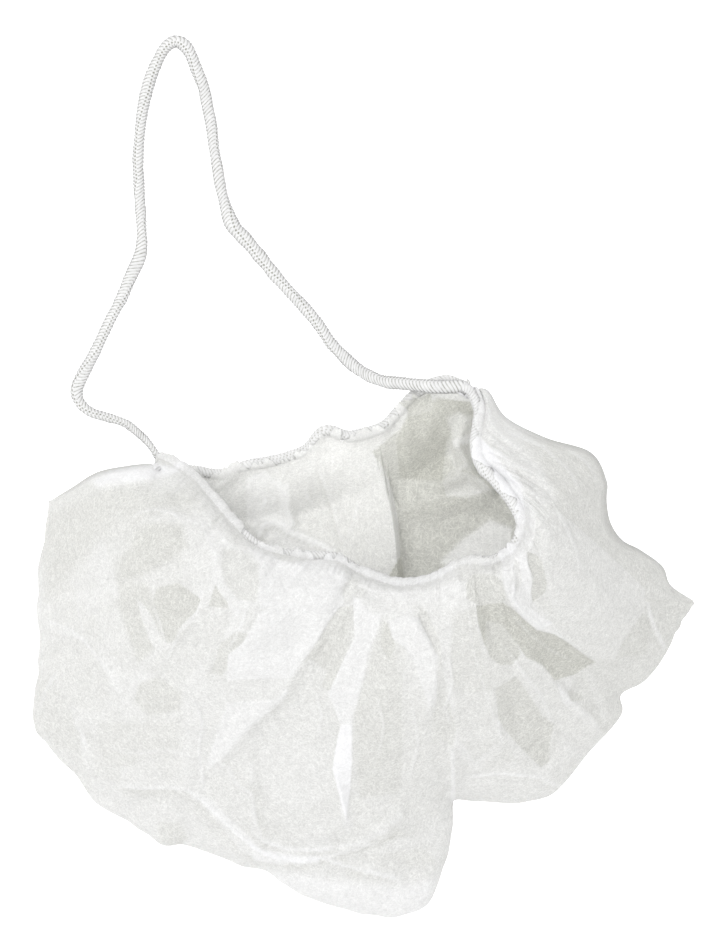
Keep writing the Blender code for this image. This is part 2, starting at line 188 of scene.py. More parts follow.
def knitTube(name, line, closed, values):
    # a knitted elastic along a line
    chance = np.random.default_rng(values["seed"])
    length = travelledAlong(line)[-1]
    courses = round(length / values["coursePitch"])
    rings = int(courses * round(values["coursePitch"] / values["ringStep"]))
    share = np.arange(rings) / rings if closed else np.linspace(0, 1, rings + 1)
    middle = along(line, share)
    if closed:
        ahead = np.roll(middle, -1, axis=0) - np.roll(middle, 1, axis=0)
    else:
        ahead = np.gradient(middle, axis=0)
    ahead = unit(ahead)
    side = unit(np.cross(ahead, [0, 0, 1]))
    up = np.cross(side, ahead)
    distance = share * courses * values["coursePitch"]
    wander = scattered(chance, share, -values["wander"], values["wander"], values["wanderPlaces"])
    strays = int(length / values["strayLength"])
    stray = scattered(chance, share, -values["stray"], values["stray"], strays)
    free = eased(np.minimum(share, 1 - share), 0, values["strayEnds"])
    middle += stray[:, None] * side * free[:, None]
    around = np.arange(values["sides"]) / values["sides"]
    turns = around[None] + (distance * values["twist"] + wander)[:, None]
    stitch = stitchHeight(distance[:, None], turns, values)
    lumps = scattered(chance, share, *values["lumps"], values["lumpPlaces"])
    width = fromRows(values["widths"], share) * (1 + lumps)
    radius = values["diameter"] / 2 * width[:, None] - values["relief"] * (1 - stitch)
    angle = 2 * math.pi * around
    points = middle[:, None] + (radius * np.cos(angle))[..., None] * side[:, None]
    points += (radius * np.sin(angle) * values["flatness"])[..., None] * up[:, None]
    count = values["sides"]
    faces = []
    last = len(middle) if closed else len(middle) - 1
    for i in range(last):
        here, there = i * count, (i + 1) % len(middle) * count
        for j in range(count):
            k = (j + 1) % count
            faces.append((here + j, there + j, there + k, here + k))
    if not closed:
        faces.append(tuple(range(count)))
        faces.append(tuple(range(len(middle) * count - 1, (len(middle) - 1) * count - 1, -1)))
    return addMesh(name, points.reshape(-1, 3), faces, [("yarn", stitch.ravel())])


# head loop, the free cord: its route in metres from the left corner of the mouth to the right corner
headLoop = {
    "route": [
        (-0.0719, 0.0659, 0.0123), (-0.0738, 0.0689, 0.0112), (-0.0762, 0.0717, 0.0089),
        (-0.0790, 0.0741, 0.0060), (-0.0834, 0.0771, 0.0034), (-0.0894, 0.0794, 0.0024),
        (-0.0950, 0.0812, 0.0023), (-0.0989, 0.0843, 0.0023), (-0.1003, 0.0886, 0.0023),
        (-0.0985, 0.0938, 0.0023), (-0.0933, 0.1039, 0.0023), (-0.0863, 0.1179, 0.0023),
        (-0.0810, 0.1295, 0.0023), (-0.0779, 0.1372, 0.0023), (-0.0775, 0.1466, 0.0023),
        (-0.0786, 0.1589, 0.0023), (-0.0786, 0.1729, 0.0023), (-0.0772, 0.1862, 0.0023),
        (-0.0740, 0.1991, 0.0023), (-0.0702, 0.2079, 0.0023), (-0.0656, 0.2110, 0.0023),
        (-0.0614, 0.2079, 0.0023), (-0.0576, 0.1991, 0.0023), (-0.0541, 0.1869, 0.0023),
        (-0.0520, 0.1729, 0.0023), (-0.0502, 0.1606, 0.0023), (-0.0467, 0.1487, 0.0023),
        (-0.0411, 0.1414, 0.0023), (-0.0310, 0.1295, 0.0023), (-0.0212, 0.1183, 0.0023),
        (-0.0149, 0.1106, 0.0024), (-0.0096, 0.1032, 0.0036), (-0.0030, 0.0969, 0.0070),
        (0.0051, 0.0927, 0.0125), (0.0135, 0.0910, 0.0175), (0.0219, 0.0899, 0.0210),
        (0.0280, 0.0899, 0.0225), (0.0319, 0.0899, 0.0227),
    ],
    # where its ends are sewn into the mouth's corners, in millimetres
    "leftJoin": [(-69.8, 63.4, 12.2), (-70.8, 64.6, 12.3)],
    "rightJoin": [(33.4, 89.8, 22.7), (35.4, 89.2, 22.4)],
    # share of its length, width against the knit's diameter
    "widths": [
        (0, 0.62), (0.04, 0.7), (0.1, 0.85), (0.13, 1.1), (0.2, 0.95), (0.26, 1.12), (0.3, 0.93),
        (0.4, 0.98), (0.49, 1.06), (0.58, 1.0), (0.66, 0.9), (0.69, 1.3), (0.73, 1.15),
        (0.78, 0.95), (0.84, 1.0), (0.9, 1.05), (1, 1.15),
    ],
    "pathPoints": 240,
    "seed": 4,
}


def makeHeadLoop(values):
    line = smoothCurve(np.array(values["route"]) / mm)
    joined = np.vstack([values["leftJoin"], line, values["rightJoin"]])
    loop = knitTube("headLoop", joined, False, {**knit, **values})
    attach(loop, "root")
    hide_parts("head_loop")
    return loop


headLoopPiece = makeHeadLoop(headLoop)
print("head loop knitted")

# edges of the pouch
outline = {
    # front edge of the mouth from its left corner to its right corner
    "frontRim": [
        (-70.1, 64, 12.7), (-65.7, 62.7, 17.1), (-57.2, 56, 22.0), (-44.9, 42.1, 30.8),
        (-35.7, 34.3, 35.2), (-22.2, 31.2, 35.2), (-10, 30.1, 31.9), (-0.5, 25.1, 30.3),
        (12.7, 21, 31.9), (25, 23.1, 36.9), (35.7, 28.8, 41.2), (44.9, 29.3, 42.9),
        (52.1, 34.7, 45.1), (54.9, 43.4, 46.2), (49.5, 53.1, 44.0), (41.4, 61.7, 40.1),
        (39.1, 68.6, 36.9), (40, 80.2, 31.9), (38, 86.9, 26.4), (34.7, 89.5, 22.5),
    ],
    # back edge of the mouth from the right corner back to the left corner
    "backRim": [
        (33.8, 90.7, 17.1), (28.2, 92.2, 14.3), (18.1, 87.8, 13.8), (12, 81.5, 13.2),
        (5.8, 75.6, 13.8), (-4.6, 72.8, 14.3), (-13.4, 74.5, 14.9), (-20.1, 68, 13.2),
        (-29.2, 64.8, 11.5), (-41.4, 62.3, 11.0), (-48.6, 59.4, 9.4), (-57.2, 60.6, 8.2),
        (-65.1, 62.3, 7.7),
    ],
    # folds from the corners of the mouth out to the ends of the outer fold
    "leftFold": [(-74.8, 63.1), (-85.9, 61.9), (-94, 59.8), (-102.1, 54.7), (-109.7, 50.1)],
    "rightFold": [
        (42.6, 89), (49.5, 79.4), (63.7, 72.2), (79.4, 67.2), (85, 57.3), (85, 50.5),
        (86.3, 42.7), (90.5, 36.4), (96.8, 33), (104.6, 27.2), (107.4, 20.6), (115.8, 15),
    ],
    # the fold round the bottom, from left to right
    "outerFold": [
        (-109.7, 50.1), (-111.1, 40.6), (-113.7, 24.2), (-113.9, 10.1), (-113.2, -2.1),
        (-114.6, -16.2), (-115.8, -26.7), (-110.4, -35.4), (-100.9, -45.9), (-93.1, -55.6),
        (-80.1, -63.4), (-70.1, -70.1), (-62.5, -70.1), (-52.1, -73.9), (-43.3, -77.3),
        (-34.5, -79.4), (-27.5, -84.4), (-11.8, -91.1), (3.9, -94.9), (13.4, -95.2),
        (21.5, -91.4), (25.7, -84.4), (29.9, -72.2), (31.3, -61), (31.9, -55.1), (39.1, -55.2),
        (54.9, -55.2), (68.1, -51.1), (79.4, -37.1), (90.3, -24.6), (90.5, -17.5),
        (100.2, -11.2), (110.9, 6.7), (115.8, 15),
    ],
    "waver": 0.5,  # how far the outer fold strays from the line
    "waverPlaces": 90,
    "rimSteps": 12,  # places that each stretch of a rim is divided into
}


def mouthHalves():
    # places on the elastic's middle line and its direction, front and back, both from left to right
    front = np.array(outline["frontRim"], float)
    back = np.array(outline["backRim"], float)
    ring = smoothCurve(np.vstack([front, back]), closed=True, steps=outline["rimSteps"])
    ahead = np.roll(ring[:-1], -1, axis=0) - np.roll(ring[:-1], 1, axis=0)
    ring = np.hstack([ring, np.vstack([ahead, ahead[:1]])])
    corner = outline["rimSteps"] * (len(front) - 1)
    return ring[: corner + 1], ring[corner:][::-1]


frontHalf, backHalf = mouthHalves()

# elastic ring of the mouth, with shallower gaps and smaller holes than the head loop
mouthRing = {
    # share of its length, width against the knit's diameter
    "widths": [(0, 0.8), (0.06, 0.95), (0.3, 1.0), (0.45, 1.2), (0.6, 1.0), (0.94, 0.95), (1, 0.8)],
    "relief": 0.45,
    "holeWidth": 0.7,
    "seed": 9,
}


def makeMouthRing(values):
    line = np.vstack([frontHalf, backHalf[::-1]])[:, :3]
    ring = knitTube("mouthElastic", line, True, {**knit, **values})
    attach(ring, "root")
    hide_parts("mouth_elastic")
    return ring


mouthRingPiece = makeMouthRing(mouthRing)
print("mouth elastic knitted")

# folds of the two layers. Each is the line of a crest: where it starts, then for each stretch where it
# ends, how far the cloth runs down to its left and right side, how high it rises, and how much whiter or
# darker the
# cloth is on its left and right side: whiter partly where it lies double, otherwise painted light and shade
# of its slopes.
frontFolds = [
    # middle of the front layer: ridge below the middle of the mouth
    [(-3, 16.8), (-6.5, -3.8, 9, 6, 3, 0.3, -0.2), (-11.4, -15.7, 10, 7, 3.6, 0.5, -0.2),
        (-6.1, -29, 6, 5, 2.8, 0.45, -0.05)],
    [(-4, 15.4), (-15.2, -2.8, 4, 9, -3, -0.1, -0.35)],  # dark valley beside it
    # standing pleat below
    [(-6.1, -29), (-9.3, -43.4, 4, 4, 2.2, 0.75, -0.15), (-6.5, -62.3, 3.5, 3.5, 2.2, 0.75, -0.1)],
    [(3, 13.3), (10.7, -1.4, 7, 5, 1.5, -0.1, 0.05)],  # soft ridge to its right
    # ridge right of the middle
    [(12.8, 19.6), (17.7, 8.4, 5, 9, 2.2, -0.2, 0.3), (25.4, -3.8, 5, 10, 3.4, -0.35, 0.4),
        (24, -16.8, 4, 10, 2.8, -0.15, 0.35)],
    [(21.2, 13.3), (24, 0, 5, 3, -2, -0.2, -0.2)],  # dark hollow under it
    [(31.5, 4), (28.6, -8, 3, 5, 1, 0, -0.1), (30.6, -26, 3, 5, 0.8, 0, -0.1)],  # faint crease
    # right of the middle: edge left of the shadow
    [(34.5, 21), (38.7, 14.7, 4, 10, 2.4, -0.25, 0.2), (39.4, 1.4, 5, 12, 3.2, -0.35, 0.2),
        (43.6, -13.3, 6, 12, 3.2, -0.35, 0.2), (47.8, -32.9, 6, 10, 2.4, -0.25, 0.15)],
    # hanging loop fold
    [(31, -16.1), (32.4, -32.9, 5, 3, 1.6, -0.15, 0.3), (39, -42, 6, 3, 1.8, -0.15, 0.35),
        (48.5, -32.2, 6, 3, 1.4, -0.15, 0.25)],
    [(37.3, 27.3), (46.4, 26.6, 3, 6, -2.4, 0, -0.25)],  # small hollow at the mouth
    # shadow band of the right lobe
    [(40.8, 15.4), (53, -3.8, 8, 6, -4, -0.45, -0.45), (74, -16.1, 8, 5, -3.6, -0.4, -0.3),
        (89.1, -24.8, 6, 5, -2, -0.25, -0.2)],
    # bright crease below the shadow
    [(47.8, 7.7), (58.3, -3.8, 3, 6, 2.2, -0.3, 0.15), (69.5, -16.1, 3, 9, 2.6, -0.3, 0.4),
        (84.2, -30.8, 3, 9, 2.2, -0.2, 0.35)],
    # dull facet under it
    [(50.6, -16.1), (54.8, -31.8, 9, 6, -1.8, -0.2, -0.15), (69.5, -41.3, 6, 6, -1.6, -0.2, -0.1)],
    # bright band over the right hem
    [(37.3, -49.7), (58.3, -48.3, 6, 5, 1.4, 0.3, 0.15), (73, -37.8, 6, 5, 1.2, 0.25, 0.15)],
    # right lobe: border of the right lobe's flap
    [(48.1, 30.8), (48.5, 22.4, 4, 3, 3.4, 0.3, -0.35), (51.6, 14.7, 6, 2.5, 4, 0.45, -0.45),
        (61.8, 6.3, 7, 2.5, 4.2, 0.4, -0.45), (71.6, 1.4, 8, 2.5, 4, 0.25, -0.45),
        (79.3, -3.8, 8, 2.5, 3.6, 0.25, -0.4), (87.7, -3.5, 8, 2.5, 3, 0.2, -0.2),
        (96.8, 7, 8, 3, 2, 0.1, -0.15)],
    [(52, 32.2), (58.3, 16.8, 4, 4, -1.8, -0.1, 0.4)],  # pleat at the top of the flap
    [(58.3, 30.8), (61.8, 16.8, 4, 3, -2.2, -0.4, -0.1)],  # dark pleat beside it
    [(56.9, 43.4), (68.8, 46.2, 8, 12, 1.8, 0.15, 0.2)],  # swelling under the mouth's right part
    # long crease of the right lobe
    [(67.4, 46.9), (79.3, 31.1, 6, 12, 2.2, -0.25, 0.25), (90.5, 17.5, 6, 10, 1.8, -0.2, 0.15)],
    [(63.5, 25.9), (66, 9.8, 8, 6, 1.2, 0.1, 0)],  # upright crease in the lobe
    [(77.9, 27.3), (84.9, 4.2, 9, 6, 1.2, -0.05, 0.1)],  # faint crease to the tip
    [(100.3, 15.4), (106.6, -1.4, 5, 4, 1.2, 0.1, 0.2)],  # thin crease at the far tip
    [(103.8, 25.9), (114.3, 16.1, 4, 5, 1, 0, 0.1)],  # rounded edge at the tip
    [(82.8, 60.9), (68.8, 67.2, 6, 6, 1.4, 0.05, 0.1)],  # shoulder
    [(43.2, 72.1), (58.3, 62.3, 3, 2.5, -1.3, 0, -0.3)],  # wrinkle beside the mouth
    [(47.8, 77), (66, 70, 3, 3, -1, 0.05, -0.2)],  # wrinkle
    [(49.9, 63.7), (63.5, 53.2, 3, 3, -1.2, 0.05, -0.25)],  # wrinkle
    [(47.8, 58.1), (64.6, 43.4, 4, 3, 1.2, 0.15, 0.1)],  # fan ridge
    [(44.3, 67.2), (61.8, 58.1, 3, 3, 1.1, 0.2, 0.1)],  # fan ridge
    [(68.8, 60.9), (81.4, 43.4, 5, 5, 0.9, -0.1, 0.05)],  # slack crease
    # lower right of the middle: step beside the lower lobe
    [(31, -35.3), (31.3, -54.6, 6, 2, 3, -0.05, 0.1)],
    [(25.4, -39.2), (28.9, -50.4, 5, 4, -1.6, -0.1, -0.25)],  # dent left of it
    [(14.5, -19.6), (23.3, -44.1, 8, 8, -1.2, -0.15, -0.1)],  # dull patch
    # dull patch under the ridge
    [(0.5, 1.4), (3, -19.6, 6, 6, -1, -0.15, -0.1), (12.8, 1.4, 6, 6, -0.8, -0.15, -0.05)],
    # lower hems: left side of the curved hem
    [(-39, -41.3), (-38.3, -65.8, 3, 6, 1.4, 0.1, -0.1), (-25.7, -72.1, 3, 4, 1.8, 0.25, -0.2),
        (-6.5, -71.4, 3, 4, 1.8, 0.25, -0.25), (12.8, -60.2, 3, 4, 1.8, 0.25, -0.2)],
    [(-31, -69.6), (-6.5, -69.6, 2, 2, -0.8, 0.05, -0.1)],  # crease inside it
    # second hem under it
    [(-35.5, -72.1), (-22.2, -76.6, 2.5, 5, 1.6, 0.2, -0.25), (-8.2, -72.8, 2.5, 5, 1.4, 0.2, -0.2)],
    [(11, -69.3), (31, -62.3, 5, 3, -1, 0.05, -0.2)],  # dull band
    [(-6.5, -73.8), (13.5, -83.3, 3, 3, 1.3, 0.3, 0.1)],  # crease in the lower lobe
    [(-4.7, -86.1), (19.8, -91.3, 3, 4, 0.7, 0.1, 0)],  # soft crease near the bottom
    # boundary in the lower left
    [(-85.2, -49.7), (-60.7, -51.8, 4, 4, 1.6, 0.15, -0.25), (-52, -60.2, 4, 4, 1.6, 0.15, -0.25),
        (-37.6, -72.1, 4, 4, 1.4, 0.15, -0.2)],
    [(-92.2, -54.6), (-57.2, -67.9, 6, 4, -1, -0.1, -0.2)],  # single cloth below it
    [(-74.7, -51.1), (-57.2, -61.6, 2, 3, 0.7, 0.2, -0.05)],  # crease in it
    # left of the middle: long crease to the lower left
    [(-3.3, 15.4), (-22.2, -8.4, 4, 10, 2.2, -0.1, 0.25), (-28.5, -18.5, 4, 10, 2.6, -0.2, 0.3),
        (-39.7, -28, 3.5, 10, 3, -0.3, 0.6), (-49.9, -39.5, 3.5, 8, 2.6, -0.3, 0.65)],
    [(-47.4, -20.6), (-53, -37.1, 8, 4, 1, 0.4, -0.25)],  # facet's left side
    [(-51.6, -13.3), (-25.7, -15.4, 5, 5, -1.2, 0, -0.15)],  # dull band above the facet
    [(-49.5, 1.4), (-6.5, 16.8, 12, 14, 1.6, 0.2, 0.3)],  # broad bright facet
    [(-36.9, 29.4), (-35.5, 1.4, 10, 6, 1.6, 0.3, 0)],  # its left side
    # left side of the tuck
    [(-50.9, 30.8), (-49.9, 18.9, 5, 3, 2, -0.1, 0.35), (-43.2, 12.9, 5, 3, 2, -0.1, 0.35),
        (-36.9, 16.1, 5, 3, 1.4, -0.1, 0.2)],
    [(-46, 32.2), (-44.6, 18.9, 4, 4, -2, -0.2, -0.2)],  # hollow in the tuck
    [(-53, 15.4), (-54.4, -3.8, 4, 5, -1.6, -0.2, -0.1)],  # narrow valley
    [(-49.5, 1.4), (-52.3, -9.8, 4, 3, -1, -0.25, -0.1)],  # small dark triangle
    # left lobe: dark crease across the lobe
    [(-83.5, 23.1), (-64.9, 22.4, 10, 4, -2.4, -0.25, -0.35), (-55.8, 16.4, 5, 4, -1.6, -0.05, -0.3)],
    [(-78.2, 39.9), (-67, 28.7, 10, 8, -1.8, -0.3, -0.15)],  # dull hollow above it
    [(-74.7, 14.7), (-70.2, -1.4, 6, 5, -1.6, -0.25, 0.1)],  # narrow valley below it
    # ridge from the mouth
    [(-55.5, 18.9), (-57.9, 11.2, 5, 6, 1.8, 0.15, 0.1), (-69.5, -1.4, 5, 7, 1.8, -0.05, 0.2),
        (-77.5, -14, 5, 6, 1.2, 0.05, 0.15)],
    [(-64.9, 18.2), (-71.2, -0.3, 4, 3, -1.4, -0.25, -0.1)],  # valley beside it
    [(-74, 42.7), (-67, 46.5, 4, 5, 1.6, 0.25, -0.1), (-57.2, 42.7, 4, 5, 1.6, 0.25, -0.1)],  # arc fold
    [(-85.9, 60.9), (-70.5, 62.3, 2, 6, 1.6, 0.2, 0.45)],  # bright roll at the left shoulder
    [(-101, 34.3), (-91.5, 44.1, 5, 6, 1.2, 0.1, 0)],  # crease
    [(-106.2, 50.4), (-99.9, 29.4, 6, 6, 0.9, 0, -0.1)],  # crease
    [(-111.1, 6.3), (-91.5, 0.7, 6, 5, 1, 0.05, -0.1)],  # crease
    # bright crease
    [(-91.5, -2.1), (-87.3, -11.2, 3, 4, 1.8, 0.3, 0.05), (-83.1, -19.6, 3, 4, 1, 0.15, 0)],
    [(-106.2, -26.6), (-91.5, -24.8, 4, 5, 1.2, 0.15, -0.1)],  # crease at the left edge
    [(-99.9, -27.3), (-95.7, -44.1, 3, 4, 1.6, 0.3, 0)],  # bright crease at the lower left
    [(-91.5, -24.8), (-74.7, -35.3, 6, 6, -1, 0, -0.1)],  # shallow valley
    [(-81.7, -16.1), (-60.7, -16.1, 7, 7, 1, 0.1, -0.05)],  # low ridge
    [(-59.7, -16.1), (-58.6, -54.6, 3.5, 4, 1, 0.2, 0)],  # faint upright crease
    [(-74.7, -19.6), (-85.2, -51.1, 7, 7, 0.9, 0.05, -0.05)],  # low ridge
    # beside the mouth's left part: pleat
    [(-58.6, 50.4), (-52.3, 34.3, 4, 5, 1.4, 0.25, -0.1), (-49.5, 27.3, 4, 4, 1, 0.15, -0.1)],
    [(-64.9, 56.7), (-74.7, 48.6, 5, 5, 1.3, 0.15, -0.05)],  # pleat at the corner
    [(-55.5, 46.9), (-43.2, 32.2, 3, 4, 1.2, 0.25, 0.1)],  # pleat along the mouth
    [(-47.4, 39.9), (-41.1, 30.8, 3, 3, 1, 0.25, 0)],  # pleat
]
backFolds = [
    # the broad fold that rises to the front rim
    [(2.5, 67), (5.8, 60.9, 3, 22, 4, 0, 0), (8.9, 50.4, 2.4, 26, 5.5, 0, 0),
        (10.7, 39.9, 2.4, 27, 7, 0, 0), (11.7, 28.7, 2.4, 27, 7.5, 0, 0), (12.1, 16, 3, 24, 7, 0, 0)],
    [(-29.5, 57), (-26, 50, 3, 4, 2.2, 0, 0), (-25, 42, 3, 4, 2.6, 0, 0)],  # ridge in the left hollow
    # curled fold below it
    [(-36.5, 38.5), (-35, 42, 3, 3, 1.4, 0, 0), (-31, 42.8, 3, 3, 1.5, 0, 0),
        (-26.5, 40, 3, 3, 1.5, 0, 0), (-20, 37, 3, 4, 1.6, 0, 0), (-9, 32, 3, 5, 1.5, 0, 0)],
    [(35.9, 78), (33, 70, 4, 4, 4, 0, 0), (36, 63, 4, 4, 4, 0, 0)],  # bunched cloth near the right corner
    [(25, 82), (22, 74, 4, 4, 3, 0, 0)],
    [(28, 57), (36, 61, 2, 6, 3, 0, 0), (45, 54, 3, 4, 3, 0, 0)],  # fold across the right hollow
    [(12.7, 46.9), (41, 51.7, 1.5, 7, 2, 0, 0)],
]
